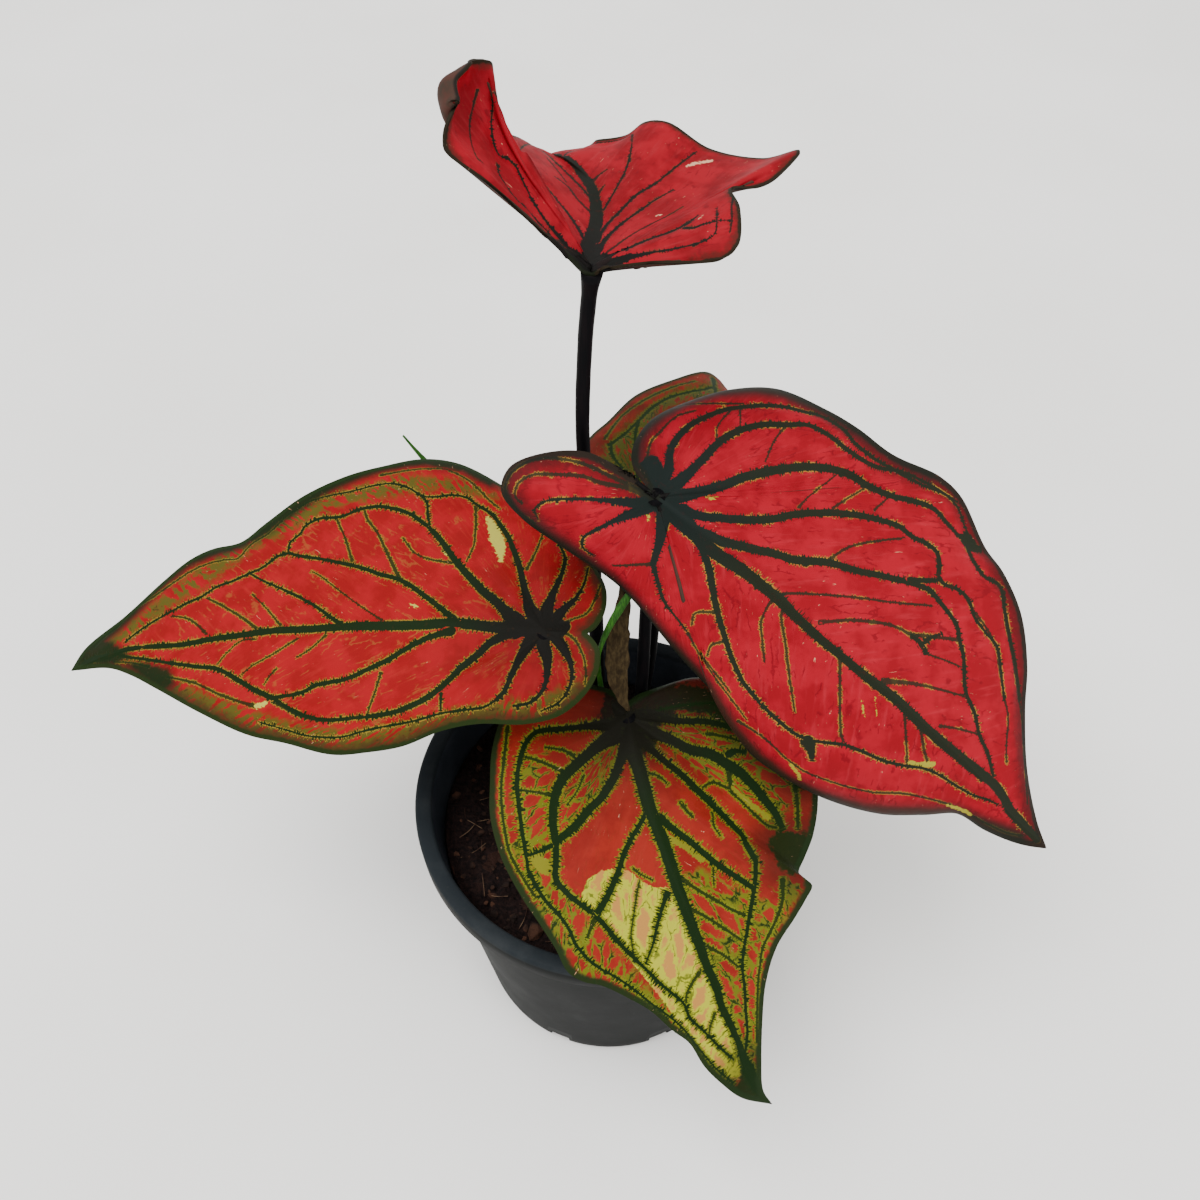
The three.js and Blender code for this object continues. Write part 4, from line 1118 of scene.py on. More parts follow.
def bent_rod(rows, sides, steps):
    """A straight rod of round or flattened section, bent along the rows' route, in a bmesh."""
    bm = bmesh.new()
    bmesh.ops.create_cone(bm, cap_ends=True, segments=sides, radius1=1, radius2=1, depth=1)
    long_edges = [edge for edge in bm.edges if abs(edge.verts[0].co.z - edge.verts[1].co.z) > 0.5]
    bmesh.ops.subdivide_edges(bm, edges=long_edges, cuts=steps - 1)
    track = Track(rows)
    for vert in bm.verts:
        share = clamped(vert.co.z + 0.5)
        tangent = track.tangent(share)
        across = Vector((1, 0, 0))
        across = (across - tangent * across.dot(tangent)).normalized()
        out = tangent.cross(across)
        wide = vert.co.x * track.column(share, 3)
        deep = vert.co.y * track.column(share, 4) + abs(wide) * track.column(share, 5)
        vert.co = (track.point(share) + across * wide + out * deep) * MM
    return bm


def stalk(name, material):
    """A leaf stalk, a little uneven, from the tuber to the underside of its blade."""
    rows = [(x, y, z, radius, radius, 0) for x, y, z, radius in STALKS[name]]
    bm = bent_rod(rows, *STALK_GRID)
    for vert in bm.verts:
        vert.co += vert.normal * STALK_UNEVENNESS * MM * noise.noise(vert.co / (STALK_BUMPS * MM))
    obj = to_object(bm, "stalk_" + name, [material])
    return carry(obj, "leaf_stalk", "petiole_" + name)


def strip(name, node, rows, slot, material, crumple):
    """A grass blade or the dry leaf."""
    bm = bent_rod(rows, *STRIP_GRID)
    bm.normal_update()
    for vert in bm.verts:
        spot = vert.co / MM
        across, along = CRUMPLE_SCALES
        wave = noise.noise(Vector((spot.x * across, spot.y * across, spot.z * along)))
        vert.co += vert.normal * crumple * wave * MM
    obj = to_object(bm, name, [material])
    return carry(obj, slot, node)


# ---------------------------------------------------------------- pot and soil


def inner_radius(z):
    top = RIM_RADIUS - FLANGE_WIDTH
    bottom = BASE_RADIUS - WALL
    return bottom + (top - bottom) * (z - INNER_CORNER) / (POT_HEIGHT - INNER_CORNER)


def outer_radius(z):
    top = RIM_RADIUS - FLANGE_WIDTH + WALL
    under = POT_HEIGHT - FLANGE_THICKNESS
    return BASE_RADIUS + (top - BASE_RADIUS) * (z - OUTER_CORNER) / (under - OUTER_CORNER)


def spun(profile, steps):
    """A bmesh of a profile of radius and height turned round the Z axis."""
    bm = bmesh.new()
    verts = [bm.verts.new((radius * MM, 0, height * MM)) for radius, height in profile]
    edges = [bm.edges.new(pair) for pair in zip(verts, verts[1:])]
    bmesh.ops.spin(
        bm, geom=verts + edges, cent=(0, 0, 0), axis=(0, 0, 1), dvec=(0, 0, 0), angle=2 * pi, steps=steps,
        use_merge=True, use_duplicate=False,
    )
    bmesh.ops.remove_doubles(bm, verts=bm.verts, dist=0.001 * MM)
    bmesh.ops.recalc_face_normals(bm, faces=bm.faces)
    return bm


def bearing(place):
    """The angle of a place round the pot, in degrees."""
    return degrees(atan2(place.y, place.x))


def cut_drains(bm):
    """Opens the drain holes round the base corner, with walls between the outer and inner faces."""
    period = 360 / DRAIN_COUNT
    reach = DRAIN_COLUMNS / 2 * 360 / POT_STEPS
    doomed = []
    for face in bm.faces:
        middle = face.calc_center_median() / MM
        turn = (bearing(middle) - period / 2) % period
        near = min(turn, period - turn) < reach
        if near and middle.z < DRAIN_HEIGHT and middle.xy.length > DRAIN_REACH:
            doomed.append(face)
    bmesh.ops.delete(bm, geom=doomed, context="FACES")
    rims = {}
    for edge in bm.edges:
        if edge.is_boundary:
            middle = (edge.verts[0].co + edge.verts[1].co) / 2
            rims.setdefault(int(bearing(middle) % 360 // period), []).append(edge)
    for edges in rims.values():
        bmesh.ops.bridge_loops(bm, edges=edges)


def pot():
    """The nursery pot: tapered wall, folded rim and drain holes. Its profile goes from the middle of the
    base out and up the outside, round the rim and down the inside to the middle of its floor."""
    under = POT_HEIGHT - FLANGE_THICKNESS
    skirt = RIM_RADIUS - SKIRT_THICKNESS
    hem = POT_HEIGHT - SKIRT_DEPTH
    mouth = RIM_RADIUS - FLANGE_WIDTH
    profile = [
        (0, 0), (BASE_RING, 0), (DRAIN_REACH, 0), (BASE_RADIUS - 3, 0), (BASE_RADIUS - 0.9, 0.9),
        (BASE_RADIUS, OUTER_CORNER), (outer_radius(DRAIN_HEIGHT), DRAIN_HEIGHT),
    ]
    profile += [(outer_radius(z), z) for z in OUTER_RINGS]
    profile += [
        (outer_radius(under - 1.2), under - 1.2), (outer_radius(under) + 0.9, under), (skirt - 0.5, under),
        (skirt, under - 0.6), (skirt - 0.3, hem + 0.3), (skirt, hem), (RIM_RADIUS - 0.5, hem),
        (RIM_RADIUS - 0.3, hem + 0.4), (RIM_RADIUS, POT_HEIGHT - 1.6), (RIM_RADIUS - 0.4, POT_HEIGHT - 0.5),
        (RIM_RADIUS - 1.3, POT_HEIGHT), (mouth + 1.4, POT_HEIGHT - 0.1), (mouth + 0.4, POT_HEIGHT - 0.6),
        (mouth, POT_HEIGHT - 1.6),
    ]
    profile += [(inner_radius(z), z) for z in INNER_RINGS]
    profile += [
        (inner_radius(DRAIN_HEIGHT), DRAIN_HEIGHT), (inner_radius(INNER_CORNER), 4.2),
        (BASE_RADIUS - 2.6, 2.9), (BASE_RADIUS - 4.5, FLOOR_THICKNESS), (DRAIN_REACH, FLOOR_THICKNESS),
        (BASE_RING, FLOOR_THICKNESS), (0, FLOOR_THICKNESS),
    ]
    bm = spun(profile, POT_STEPS)
    cut_drains(bm)
    obj = to_object(bm, "nursery_pot", [pot_plastic()])
    return carry(obj, "pot_plastic", "pot")


def soil_height(x, y):
    """How high the soil stands at a place, in millimetres."""
    waves = sin(x * 0.19 + y * 0.07 + 1) + sin(y * 0.23 - x * 0.05) * 0.7
    grain = noise.turbulence(Vector((x, y, 3)) * 0.16, 4, False, amplitude_scale=0.6, frequency_scale=2.1)
    lumps = noise.noise(Vector((x * 0.34, y * 0.34, 9)))
    return SOIL_LEVEL + 0.9 * waves + 1.7 * (grain - 0.5) + 0.9 * lumps


def soil():
    """Potting mix with an uneven, crumbly top."""
    wall = inner_radius(SOIL_SHOULDER) - SOIL_GAP
    profile = [
        (0, SOIL_BOTTOM), (BASE_RADIUS - SOIL_CORNER, SOIL_BOTTOM),
        (inner_radius(SOIL_CORNER) - 0.4, SOIL_CORNER), (wall, SOIL_SHOULDER),
    ]
    profile += [(wall * (1 - i / SOIL_RINGS), SOIL_LEVEL) for i in range(SOIL_RINGS + 1)]
    bm = spun(profile, SOIL_STEPS)
    for vert in bm.verts:
        if vert.co.z > (SOIL_SHOULDER + 1) * MM:
            x, y = vert.co.x / MM, vert.co.y / MM
            edge = min((wall - hypot(x, y)) / SINK_WIDTH, 1)
            vert.co.z = (SOIL_LEVEL - SINK + (soil_height(x, y) - SOIL_LEVEL + SINK) * edge) * MM
    obj = to_object(bm, "potting_mix", [soil_mix()])
    return carry(obj, "potting_mix", "soil")


def scattered(rng, reach):
    """A random place on the soil, clear of the wall."""
    turn = rng.uniform(0, 2 * pi)
    radius = reach * rng.random() ** 0.5
    x, y = radius * cos(turn), radius * sin(turn)
    return Vector((x, y, soil_height(x, y)))


def random_turn(rng, tilt):
    angles = (rng.uniform(-tilt, tilt), rng.uniform(-tilt, tilt), rng.uniform(0, 2 * pi))
    return Euler(angles).to_matrix().to_4x4()


def chips():
    """Bits of bark and coir lying on the soil."""
    rng = random.Random(CHIP_SEED)
    bm = bmesh.new()
    for _ in range(CHIP_COUNT):
        size = rng.uniform(*(SMALL_CHIP if rng.random() < SMALL_SHARE else BIG_CHIP))
        length = size * rng.uniform(*CHIP_LENGTH)
        shape = Matrix.Diagonal((length, size, size * rng.uniform(*CHIP_HEIGHT), 1))
        place = Matrix.Translation(scattered(rng, CHIP_REACH)) @ random_turn(rng, CHIP_TILT) @ shape
        made = bmesh.ops.create_icosphere(bm, subdivisions=1, radius=1)
        for vert in made["verts"]:
            vert.co *= rng.uniform(*CHIP_CORNERS)
            vert.co = (place @ vert.co) * MM
    obj = to_object(bm, "bark_chips", [chip_bark()])
    for polygon in obj.data.polygons:
        polygon.use_smooth = False
    return carry(obj, "potting_mix")


def fibres():
    """Coir fibres and root hairs among the chips."""
    rng = random.Random(FIBRE_SEED)
    bm = bmesh.new()
    for _ in range(FIBRE_COUNT):
        centre = scattered(rng, FIBRE_REACH) + Vector((0, 0, FIBRE_LIFT))
        heading = rng.uniform(0, 2 * pi)
        length = rng.uniform(*FIBRE_LENGTH)
        way = Vector((cos(heading), sin(heading), rng.uniform(*FIBRE_SLOPE)))
        side = Vector((-way.y, way.x, 0)) * rng.uniform(*FIBRE_BEND)
        rows = []
        for share in (-0.5, 0, 0.5):
            spot = centre + way * length * share + side * length * (0.25 - share * share)
            rows.append((*spot, FIBRE_RADIUS, FIBRE_RADIUS, 0))
        fibre = bent_rod(rows, *FIBRE_GRID)
        mesh = bpy.data.meshes.new("fibre")
        fibre.to_mesh(mesh)
        fibre.free()
        bm.from_mesh(mesh)
        bpy.data.meshes.remove(mesh)
    obj = to_object(bm, "coir_fibres", [coir()])
    return carry(obj, "potting_mix")


# ---------------------------------------------------------------- shaders


def srgb(red, green, blue):
    """A linear colour from an 8-bit one."""
    linear = []
    for value in (red, green, blue):
        share = value / 255
        linear.append(share / 12.92 if share <= 0.04045 else ((share + 0.055) / 1.055) ** 2.4)
    return (*linear, 1)


def operator(operation, swapped=False):
    """A method of Wire that adds a Math node."""
    def method(self, *others):
        values = (*others, self) if swapped else (self, *others)
        return self.finish.node("ShaderNodeMath", {"operation": operation}, dict(enumerate(values)))
    return method


class Wire:
    """A shader socket that takes part in Python expressions, each of which adds a Math node."""

    def __init__(self, finish, socket):
        self.finish = finish
        self.socket = socket

    __add__ = operator("ADD")
    __radd__ = operator("ADD", swapped=True)
    __sub__ = operator("SUBTRACT")
    __rsub__ = operator("SUBTRACT", swapped=True)
    __mul__ = operator("MULTIPLY")
    __truediv__ = operator("DIVIDE")
    __pow__ = operator("POWER")
    __abs__ = operator("ABSOLUTE")
    most = operator("MAXIMUM")


class Finish:
    """A material under construction."""

    def __init__(self, name, roughness, specular):
        self.material = bpy.data.materials.new(name)
        self.material.use_nodes = True
        self.tree = self.material.node_tree
        self.shader = self.tree.nodes["Principled BSDF"]
        self.shader.inputs["Roughness"].default_value = roughness
        self.shader.inputs["Specular IOR Level"].default_value = specular
        self.places = self.node("ShaderNodeTexCoord", output="Object")

    def node(self, kind, settings=None, inputs=None, output=0):
        """Any node: its settings first, then its sockets. Gives back one output."""
        node = self.tree.nodes.new(kind)
        for name, value in (settings or {}).items():
            setattr(node, name, value)
        for name, value in (inputs or {}).items():
            if isinstance(value, Wire):
                self.tree.links.new(value.socket, node.inputs[name])
            else:
                node.inputs[name].default_value = value
        return Wire(self, node.outputs[output])

    def mix(self, factor, first, second):
        return self.node("ShaderNodeMix", {"data_type": "RGBA"}, {0: factor, 6: first, 7: second}, output=2)

    def step(self, value, low, high):
        """0 below low, 1 above high and smooth between."""
        inputs = {0: value, 1: low, 2: high}
        return self.node("ShaderNodeMapRange", {"interpolation_type": "SMOOTHSTEP"}, inputs)

    def under(self, value, low, high):
        """1 below low, 0 above high and smooth between."""
        return 1 - self.step(value, low, high)

    def blend(self, value, low, high, first, second):
        """From one 8-bit colour to another as a value goes from low to high."""
        return self.mix(self.step(value, low, high), srgb(*first), srgb(*second))

    def clouds(self, size, detail=3, roughness=0.5, places=None, distortion=0):
        """Noise from 0 to 1 with features of a size, in millimetres unless places are given."""
        inputs = {
            "Vector": places or self.places, "Scale": 1 / (size * MM) if places is None else 1 / size,
            "Detail": detail, "Roughness": roughness, "Distortion": distortion,
        }
        return self.node("ShaderNodeTexNoise", None, inputs)

    def grains(self, scales, detail=3, roughness=0.6):
        """Noise drawn out by a scale on each axis."""
        places = self.node("ShaderNodeMapping", None, {"Vector": self.places, "Scale": scales})
        return self.clouds(1, detail, roughness, places)

    def cells(self, size, output="Distance"):
        inputs = {"Vector": self.places, "Scale": 1 / (size * MM)}
        return self.node("ShaderNodeTexVoronoi", None, inputs, output)

    def net(self, places):
        """How far a place is from the walls of a net of cells."""
        inputs = {"Vector": places, "Scale": 1}
        return self.node("ShaderNodeTexVoronoi", {"feature": "DISTANCE_TO_EDGE"}, inputs)

    def parts(self, vector):
        """The three numbers of a vector."""
        return [self.node("ShaderNodeSeparateXYZ", None, {0: vector}, i) for i in range(3)]

    def layer(self, name):
        """The three numbers of a mesh layer."""
        return self.parts(self.node("ShaderNodeAttribute", {"attribute_name": name}, output="Vector"))

    def vector(self, x=0, y=0, z=0):
        return self.node("ShaderNodeCombineXYZ", None, {0: x, 1: y, 2: z})

    def distance_to(self, place):
        """How far the surface is from a place, both in millimetres."""
        inputs = {0: self.places, 1: Vector(place) * MM}
        return self.node("ShaderNodeVectorMath", {"operation": "DISTANCE"}, inputs, output="Value") / MM

    def bump(self, height, distance, strength=1):
        inputs = {"Height": height, "Distance": distance * MM, "Strength": strength}
        self.feed("Normal", self.node("ShaderNodeBump", None, inputs))

    def feed(self, socket, wire):
        self.tree.links.new(wire.socket, self.shader.inputs[socket])

    def done(self, skin):
        """The material, with its colour linked."""
        self.feed("Base Color", skin)
        return self.material


PALE = (150, 150, 36)
PEACH = (158, 102, 56)
CREAM = (186, 142, 112)

# How each blade is painted, in a column for each of LEAVES. First its 8-bit colours; None is a thing that
# the blade doesn't have.
LOOKS = {
    "panel": ((141, 14, 30), (136, 14, 21), (126, 31, 22), (132, 14, 27), (98, 25, 14)),
    "panel_dark": ((123, 9, 22), (120, 11, 15), (112, 24, 18), (108, 8, 18), (78, 20, 10)),
    # painted_sheen is a painted highlight: the lighter tone of the satin sheen streaks on the panels
    "painted_sheen": ((160, 38, 50), (150, 36, 30), (134, 44, 32), (136, 38, 44), (96, 44, 22)),
    "fringe": ((142, 108, 40), (122, 104, 32), (96, 102, 22), (94, 46, 30), (62, 66, 15)),
    "vein": ((27, 31, 21), (14, 29, 8), (13, 30, 7), (22, 24, 19), (18, 34, 10)),
    # hub is the dark colour by the stalk, and also the colour that the painted shade is mixed towards
    "hub": ((20, 27, 25), (14, 13, 10), (19, 18, 12), (17, 17, 15), (20, 22, 12)),
    "olive": (None, (72, 66, 20), (88, 90, 22), None, (56, 56, 15)),
    "thread": ((98, 8, 18), (134, 86, 36), (24, 48, 10), (94, 10, 19), (30, 40, 11)),
    "band": ((62, 16, 17), (54, 34, 16), (34, 44, 15), (72, 26, 22), (40, 36, 13)),
    "edge": ((24, 26, 20), (22, 38, 12), (22, 36, 14), (22, 26, 16), (24, 32, 12)),
    "mark": ((142, 134, 40), (158, 152, 62), (104, 102, 26), CREAM, None),
    # Shares of the surface that have a fringe and threads, and how much threads show outside the areas
    "fringe_share": (0.3, 0.75, 1, 0.3, 0.9),
    "thread_share": (0.35, 0.3, 0.5, 0.3, 0.4),
    "thread_open": (1, 0.55, 0.15, 1, 0.5),
    # Millimetres: the fringe beside the veins and the teeth on them, the net of threads and the olive
    # mottling along it, the band inside the margin, the dark edge, and the swelling round the stalk
    "fringe_reach": (0.35, 0.4, 0.8, 0.25, 0.8),
    "tooth": (0.9, 1.1, 1.6, 0.6, 1),
    "net_width": (3.4, 3.2, 5, 3.4, 4),
    "net_length": (11, 12, 9, 11, 9),
    "olive_width": (None, 0.6, 0.5, None, 0.8),
    "band_reach": (10, 6.5, 3.5, 3, 3),
    "edge_width": (2.4, 1.8, 2.2, 1, 1.4),
    "hub_swell": (1.2, 1.5, 1.8, 1.6, 1.2),
    # The painted shade round the stalk, and the dark areas: strength, raggedness and reach of the halo of
    # painted shade round them
    "painted_shade": (0, 0.35, 0.5, 0, 0.3),
    "dark": (0.7, 0.92, 0.94, None, None),
    "ragged": (1.5, 3, 8, None, None),
    "shade_halo": (3, 3, 14, None, None),
}

# Where a line's paint begins and ends beside its edge, and where things fade out round the stalk, the
# painted shade among them
LINE_EDGE = (-0.1, 0.12)
HUB_SPAN = (1, 20)
PAINTED_SHADE_SPAN = (8, 50)
VEIN_SPAN = (8, 45)
BACK_HUB_SPAN = (4, 22)


def toothed(finish, across, half, along, tooth):
    """Distance from a line's edge, which has fine teeth, in millimetres."""
    comb = finish.clouds(1, 1, 0.5, finish.vector(along / 0.45, across * 0.4, half * 5))
    return abs(across) - half - finish.step(comb, 0.46, 0.72) * tooth


def gate(finish, size, share, lift=0):
    """Patches that cover a share of the surface, and more of it where they get a lift."""
    middle = 0.68 - 0.36 * share
    return finish.step(finish.clouds(size, 2, 0.6) + lift, middle - 0.05, middle + 0.05)


def blade_face(name):
    """The painted upper face of a blade, with painted sheen on its panels and painted shade by its stalk
    and round its dark areas.
    """
    column = list(LEAVES).index(name)
    look = {key: values[column] for key, values in LOOKS.items()}
    tone = {key: srgb(*value) for key, value in look.items() if isinstance(value, tuple)}
    finish = Finish("blade_face_" + name, roughness=0.55, specular=0.05)
    across, half, along = finish.layer("vein")
    fine_across, fine_half, fine_along = finish.layer("fine")
    pale_across, pale_half, _ = finish.layer("pale")
    margin_run, rib_run, rim = finish.layer("sheet")
    pale_depth, olive_depth, dark_depth = finish.layer("area")
    from_stalk = finish.distance_to(LEAVES[name]["at"])

    # Noises, and how far the surface is from the edges of the veins
    rag = finish.clouds(0.9, 2, 0.6) - 0.5
    wobble = finish.clouds(2.4, 2, 0.5) - 0.5
    broad = finish.clouds(11, 3, 0.6)
    blotch = finish.clouds(2.6, 4, 0.65)
    mottle = blotch - 0.5
    sheen_streaks = finish.clouds(1, 3, 0.6, finish.vector(margin_run * 0.5, rib_run * 0.07, 0))
    hub = finish.under(from_stalk, *HUB_SPAN)
    gap = toothed(finish, across, half, along, look["tooth"]) - hub * look["hub_swell"] + wobble * 0.6 + 0.1
    fine_wide = fine_half * (0.5 + finish.clouds(5, 2, 0.6))
    fine_gap = toothed(finish, fine_across, fine_wide, fine_along, look["tooth"] * 0.5) + rag * 0.3

    # The panels, with their painted sheen, their olive and pale areas and the net of threads
    panel = finish.mix(finish.step(broad, 0.38, 0.62), tone["panel_dark"], tone["panel"])
    # Painted sheen: lighter streaks drawn out along the ribs stand in for the satin highlight of the blade
    panel = finish.mix(finish.step(sheen_streaks, 0.5, 0.8) * 0.45, panel, tone["painted_sheen"])
    cell_across = margin_run / look["net_width"] + wobble * 0.6
    cell_along = rib_run / look["net_length"] + rag * 0.2
    wall = finish.net(finish.vector(cell_across, cell_along)) * look["net_width"]
    olive_here = finish.step(olive_depth + blotch * 6, 1, 5)
    fringed = gate(finish, 7, look["fringe_share"], olive_here * 0.13)
    if look["olive"]:
        olive_near = finish.under(wall / look["olive_width"] - mottle * 2.6 - rag * 1.6, 0.6, 1.3)
        panel = finish.mix(olive_near * olive_here * fringed, panel, tone["olive"])
    pale_here = finish.step(pale_depth + rag * 1.6, -0.15, 0.15)
    island = finish.step(wall + mottle * 2.4, 0.5, 1.1)
    panel = finish.mix(pale_here, panel, finish.mix(island * 0.85, srgb(*PALE), srgb(*PEACH)))
    thread = finish.under(wall + rag * 0.4, 0.05, 0.24) * gate(finish, 6, look["thread_share"])
    opened = olive_here.most(pale_here).most(look["thread_open"])
    panel = finish.mix(thread * opened * (1 - hub) * 0.7, panel, tone["thread"])
    if look["olive"]:
        panel = finish.mix(thread * olive_here * 0.85, panel, tone["vein"])

    # The band inside the margin and the fringes beside the veins
    band = finish.under(rim + mottle * 5, look["band_reach"] * 0.3, look["band_reach"])
    painted = finish.mix(band * 0.85, panel, tone["band"])
    reach = look["fringe_reach"]
    fringe = finish.under(gap + rag * reach, reach * 0.5, reach * 1.3)
    fine_fringe = finish.under(fine_gap + rag * reach, reach * 0.4, reach)
    painted = finish.mix(fringe.most(fine_fringe) * fringed * 0.9, painted, tone["fringe"])
    painted = finish.mix(pale_here * fringe * 0.6, painted, tone["fringe"])

    # The painted shade round the stalk and round the dark areas, the dark areas and the veins
    # Painted shade: the blade is mixed towards the hub colour near its stalk, standing in for the shade
    # that falls there
    painted_shade = finish.under(from_stalk, *PAINTED_SHADE_SPAN) * look["painted_shade"]
    if look["dark"]:
        # Painted shade also darkens a halo round the dark areas; on the front blade it stands in for the
        # shade cast by the right blade
        painted_shade = (finish.step(dark_depth + blotch, -look["shade_halo"], 1) * 0.6).most(painted_shade)
    painted = finish.mix(painted_shade, painted, tone["hub"])
    vein_tone = finish.mix(finish.step(from_stalk, *VEIN_SPAN), tone["hub"], tone["vein"])
    vein_tone = finish.mix(finish.step(blotch, 0.55, 0.8) * 0.35, vein_tone, tone["band"])
    if look["dark"]:
        # The dark areas take the vein tone; the front blade's third outline among them is painted shade
        dark_here = finish.step(dark_depth + (mottle + wobble * 0.4) * look["ragged"], -1, 1)
        painted = finish.mix(dark_here * look["dark"], painted, vein_tone)
    painted = finish.mix(finish.under(fine_gap, *LINE_EDGE) * 0.92, painted, tone["vein"])
    off_vein = finish.step(gap, *LINE_EDGE)
    painted = finish.mix(1 - off_vein, painted, vein_tone)

    # The edge, the pale marks and the cream dashes
    edge_width = look["edge_width"]
    edge = finish.under(rim + rag * 0.6 + wobble * 1.2, edge_width * 0.7, edge_width * 1.3)
    painted = finish.mix(edge * 0.92, painted, tone["edge"])
    if look["mark"]:
        spot = finish.under(abs(pale_across) - pale_half + rag * 2.4 + wobble, -0.1, 0.15)
        painted = finish.mix(spot * off_vein, painted, tone["mark"])
    dash = finish.clouds(1, 2, 0.5, finish.vector(margin_run / 0.6, rib_run / 2.4, 4), 0.8)
    dashed = finish.step(dash, 0.7, 0.76) * gate(finish, 9, 0.4) * off_vein
    painted = finish.mix(dashed * 0.75, painted, srgb(*CREAM))

    relief = finish.step(gap, -0.4, 1.2) * 0.5 + finish.step(fine_gap, -0.2, 0.5) * 0.25
    crinkle = finish.clouds(1.4, 3, 0.55) * 0.12
    finish.bump(relief + crinkle, 0.35, 0.55)
    finish.feed("Roughness", 0.5 + blotch * 0.16)
    return finish.done(painted)


def blade_back(name):
    """The dull underside, with its raised veins."""
    finish = Finish("blade_back_" + name, roughness=0.65, specular=0.06)
    across, half, _ = finish.layer("vein")
    fine_across, fine_half, _ = finish.layer("fine")
    rim = finish.layer("sheet")[2]
    fine_gap = abs(fine_across) - fine_half
    skin = finish.blend(finish.clouds(3, 4, 0.6), 0.35, 0.7, (64, 40, 34), (50, 40, 33))
    skin = finish.mix(finish.under(fine_gap, -0.1, 0.25) * 0.5, skin, srgb(38, 32, 26))
    skin = finish.mix(finish.under(abs(across) - half, -0.3, 0.3) * 0.75, skin, srgb(34, 33, 24))
    skin = finish.mix(finish.under(rim, 0.4, 1.2), skin, srgb(22, 20, 16))
    by_stalk = finish.under(finish.distance_to(LEAVES[name]["at"]), *BACK_HUB_SPAN)
    skin = finish.mix(by_stalk * 0.9, skin, srgb(12, 11, 12))
    finish.bump(finish.under(fine_gap, -0.2, 0.5), 0.3, 0.5)
    return finish.done(skin)


def stalk_skin():
    """Purple-black leaf stalk with a soft gloss."""
    finish = Finish("stalk_skin", roughness=0.45, specular=0.03)
    run = finish.grains((700, 700, 60))
    finish.bump(run, 0.2, 0.3)
    finish.feed("Roughness", 0.4 + run * 0.2)
    return finish.done(finish.blend(run, 0.4, 0.7, (9, 9, 11), (15, 12, 14)))


def grass_skin():
    """Fresh green grass with fine veins along it."""
    finish = Finish("grass_skin", roughness=0.5, specular=0.1)
    run = finish.grains((2200, 900, 90))
    finish.bump(run, 0.15, 0.4)
    return finish.done(finish.blend(run, 0.35, 0.65, (24, 58, 12), (42, 86, 22)))


def dry_skin():
    """Brown, papery dead leaf."""
    finish = Finish("dry_skin", roughness=0.85, specular=0.06)
    lines = finish.grains((900, 700, 30))
    blotch = finish.clouds(5, 4, 0.7)
    skin = finish.blend(lines, 0.35, 0.7, (40, 31, 19), (62, 51, 32))
    finish.bump(lines + blotch * 0.5, 0.25, 0.5)
    return finish.done(finish.mix(finish.step(blotch, 0.5, 0.7) * 0.5, skin, srgb(30, 23, 15)))


def pot_plastic():
    """Black moulded plastic, dusty and scuffed, with painted light: its flange and inner wall are lighter
    copies of it.
    """
    finish = Finish("pot_plastic", roughness=0.45, specular=0.02)
    dust = finish.clouds(22, 5, 0.65)
    grain = finish.clouds(0.5, 2, 0.5)
    scuff = finish.grains((300, 300, 60), 4, 0.7)
    x, y, z = finish.parts(finish.places)
    height = z / MM
    radius = (x ** 2 + y ** 2) ** 0.5 / MM
    floor_radius = inner_radius(0)
    slope = (inner_radius(POT_HEIGHT) - floor_radius) / POT_HEIGHT
    # Painted light: the inner wall is painted lighter than the outer wall
    inner = finish.under(radius - height * slope, floor_radius + 0.3, floor_radius + 0.9)
    # Painted sheen: the flange is painted lighter, for the light that catches it
    flange = finish.step(height, POT_HEIGHT - 3, POT_HEIGHT - 1)
    dusty = finish.step(dust, 0.4, 0.7)
    skin = finish.mix(dusty, srgb(13, 15, 15), srgb(21, 23, 22))
    # The painted light inside and the painted sheen on the flange, each with its dust
    skin = finish.mix(inner, skin, finish.mix(dusty, srgb(42, 46, 52), srgb(54, 58, 64)))
    skin = finish.mix(flange, skin, finish.mix(dusty, srgb(31, 35, 38), srgb(42, 45, 47)))
    finish.bump(grain * 0.5 + scuff * 0.3, 0.06, 0.6)
    finish.feed("Roughness", 0.36 + dust * 0.25)
    return finish.done(finish.mix(finish.step(scuff, 0.62, 0.75) * 0.25, skin, srgb(60, 60, 57)))


def soil_mix():
    """Dark coir and peat."""
    finish = Finish("soil_mix", roughness=0.95, specular=0.15)
    grain = finish.clouds(1.6, 6, 0.72)
    skin = finish.blend(grain, 0.35, 0.7, (16, 10, 10), (42, 27, 24))
    bits = finish.step(finish.cells(4.5, "Color"), 0.8, 0.9)
    finish.bump(grain + (1 - finish.cells(2.2)) * 0.5, 1.4)
    return finish.done(finish.mix(bits * 0.5, skin, srgb(76, 48, 36)))


def chip_bark():
    """Bark chips, from near black to a worn tan."""
    finish = Finish("chip_bark", roughness=0.9, specular=0.2)
    grain = finish.clouds(0.7, 4, 0.6)
    skin = finish.blend(finish.clouds(7, 2, 0.5), 0.4, 0.68, (28, 18, 14), (74, 48, 35))
    finish.bump(grain, 0.5, 0.8)
    return finish.done(finish.mix(finish.step(grain, 0.5, 0.8) * 0.5, skin, srgb(19, 13, 10)))


def coir():
    """Tan fibre."""
    finish = Finish("coir", roughness=0.9, specular=0.2)
    return finish.done(finish.blend(finish.clouds(5, 2, 0.5), 0.35, 0.65, (56, 35, 27), (120, 96, 74)))


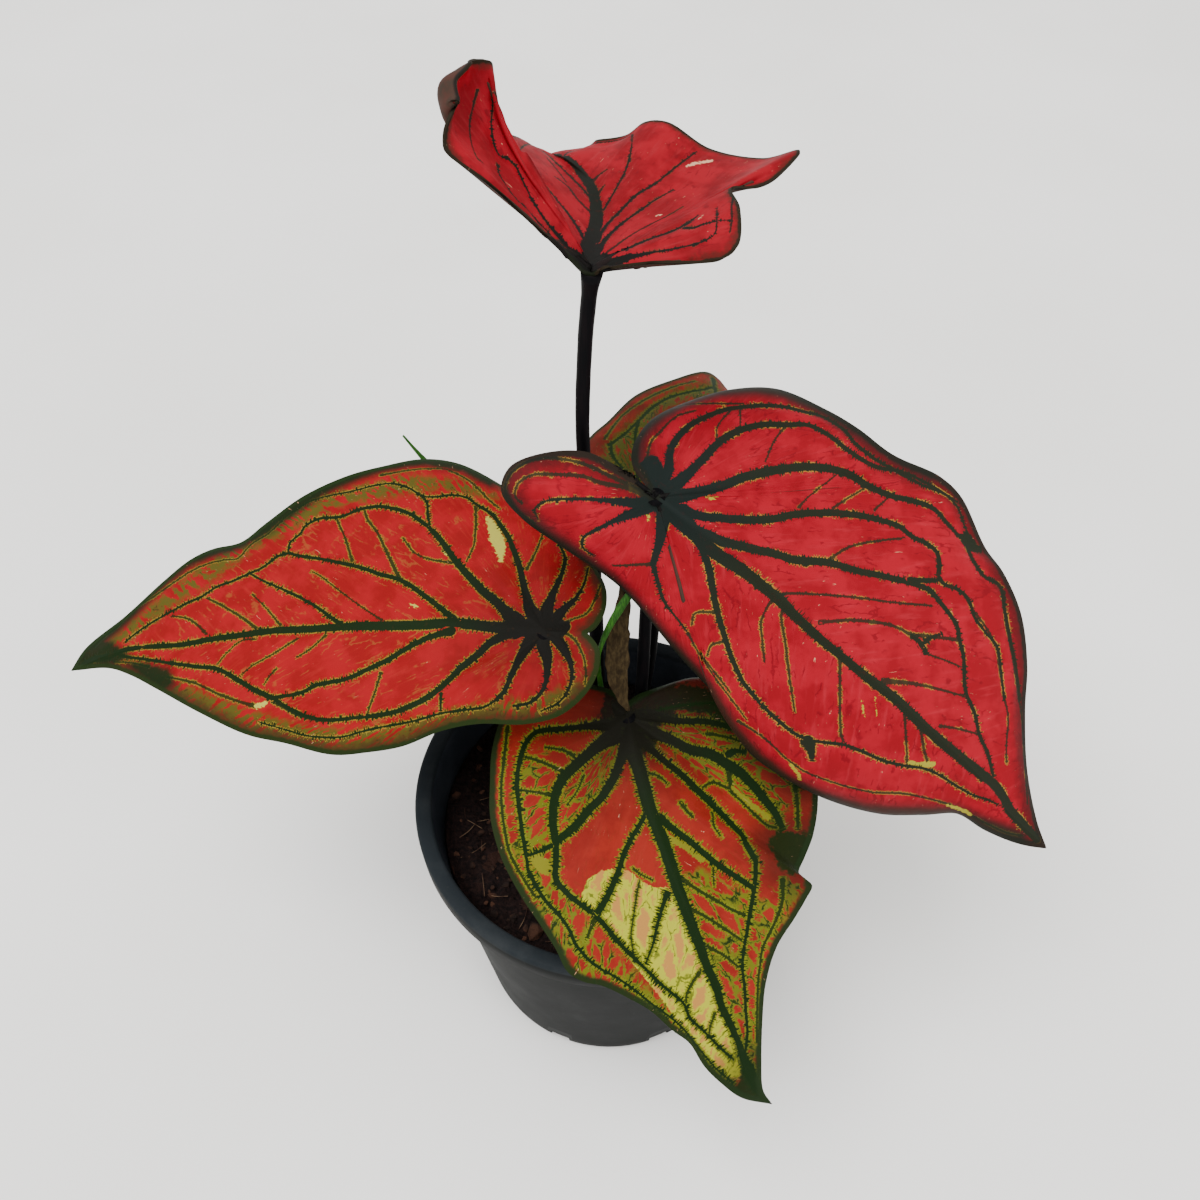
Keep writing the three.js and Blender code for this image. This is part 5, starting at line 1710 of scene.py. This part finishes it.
def tuber_skin():
    """Brown corky tuber."""
    finish = Finish("tuber_skin", roughness=0.9, specular=0.2)
    cork = finish.clouds(3, 5, 0.7)
    finish.bump(cork + finish.grains((60, 60, 500)) * 0.6, 0.8, 0.8)
    return finish.done(finish.blend(cork, 0.3, 0.7, (70, 46, 32), (126, 92, 62)))


def floor_paint():
    finish = Finish("floor_paint", roughness=0.7, specular=0.2)
    return finish.done(finish.blend(finish.clouds(260, 3, 0.5), 0.3, 0.7, (232, 231, 228), (238, 237, 235)))


# ---------------------------------------------------------------- stage

FLOOR_REACH = 6
FLOOR_PLACE = (0, 2, -0.0006)
LIGHT_TARGET = Vector((0, 0, 0.15))
LIGHT_SIZE = 2.4
SKY_TINT = (1, 0.995, 0.98, 1)
SKY_STRENGTH = 1.45


def make_floor():
    bm = bmesh.new()
    bmesh.ops.create_grid(bm, x_segments=1, y_segments=1, size=FLOOR_REACH)
    bmesh.ops.translate(bm, verts=bm.verts, vec=FLOOR_PLACE)
    to_object(bm, "floor", [floor_paint()])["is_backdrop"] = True


def make_light(name, place, power, tint=(1, 1, 1)):
    data = bpy.data.lights.new(name, "AREA")
    data.shape = "DISK"
    data.size = LIGHT_SIZE
    data.energy = power
    data.color = tint
    lamp = bpy.data.objects.new(name, data)
    lamp.location = place
    lamp.rotation_mode = "QUATERNION"
    lamp.rotation_quaternion = (LIGHT_TARGET - Vector(place)).to_track_quat("-Z", "Y")
    bpy.context.scene.collection.objects.link(lamp)


def make_camera():
    data = bpy.data.cameras.new("camera")
    data.lens = LENS
    data.sensor_width = SENSOR
    data.sensor_fit = "HORIZONTAL"
    data.clip_start = 0.01
    camera = bpy.data.objects.new("camera", data)
    camera.location = CAMERA_PLACE
    camera.rotation_euler = (pi / 2 - CAMERA_DROP, 0, 0)
    bpy.context.scene.collection.objects.link(camera)
    bpy.context.scene.camera = camera


def make_world():
    world = bpy.data.worlds.new("studio")
    world.use_nodes = True
    sky = world.node_tree.nodes["Background"]
    sky.inputs["Color"].default_value = SKY_TINT
    sky.inputs["Strength"].default_value = SKY_STRENGTH
    bpy.context.scene.world = world


make_camera()
make_world()
make_floor()
make_light("key", (-1.1, -0.6, 3.6), 140)
make_light("fill", (2.4, -1.6, 2.2), 45, tint=(1, 0.98, 0.96))

pot()
soil()
chips()
fibres()
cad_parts["tuber"].data.materials.clear()
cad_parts["tuber"].data.materials.append(tuber_skin())
stalk_material = stalk_skin()
for leaf_name in LEAVES:
    stalk(leaf_name, stalk_material)
    blade(leaf_name)
strip("dry_leaf", "withered_leaf", WITHERED, "dry_leaf", dry_skin(), DRY_CRUMPLE)
grass_material = grass_skin()
strip("grass_near", "grass_blade_near", GRASS_NEAR, "grass", grass_material, GRASS_CRUMPLE)
strip("grass_far", "grass_blade_far", GRASS_FAR, "grass", grass_material, GRASS_CRUMPLE)

[[list(corner) for corner in box] for box in (SOLID_BOX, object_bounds())]
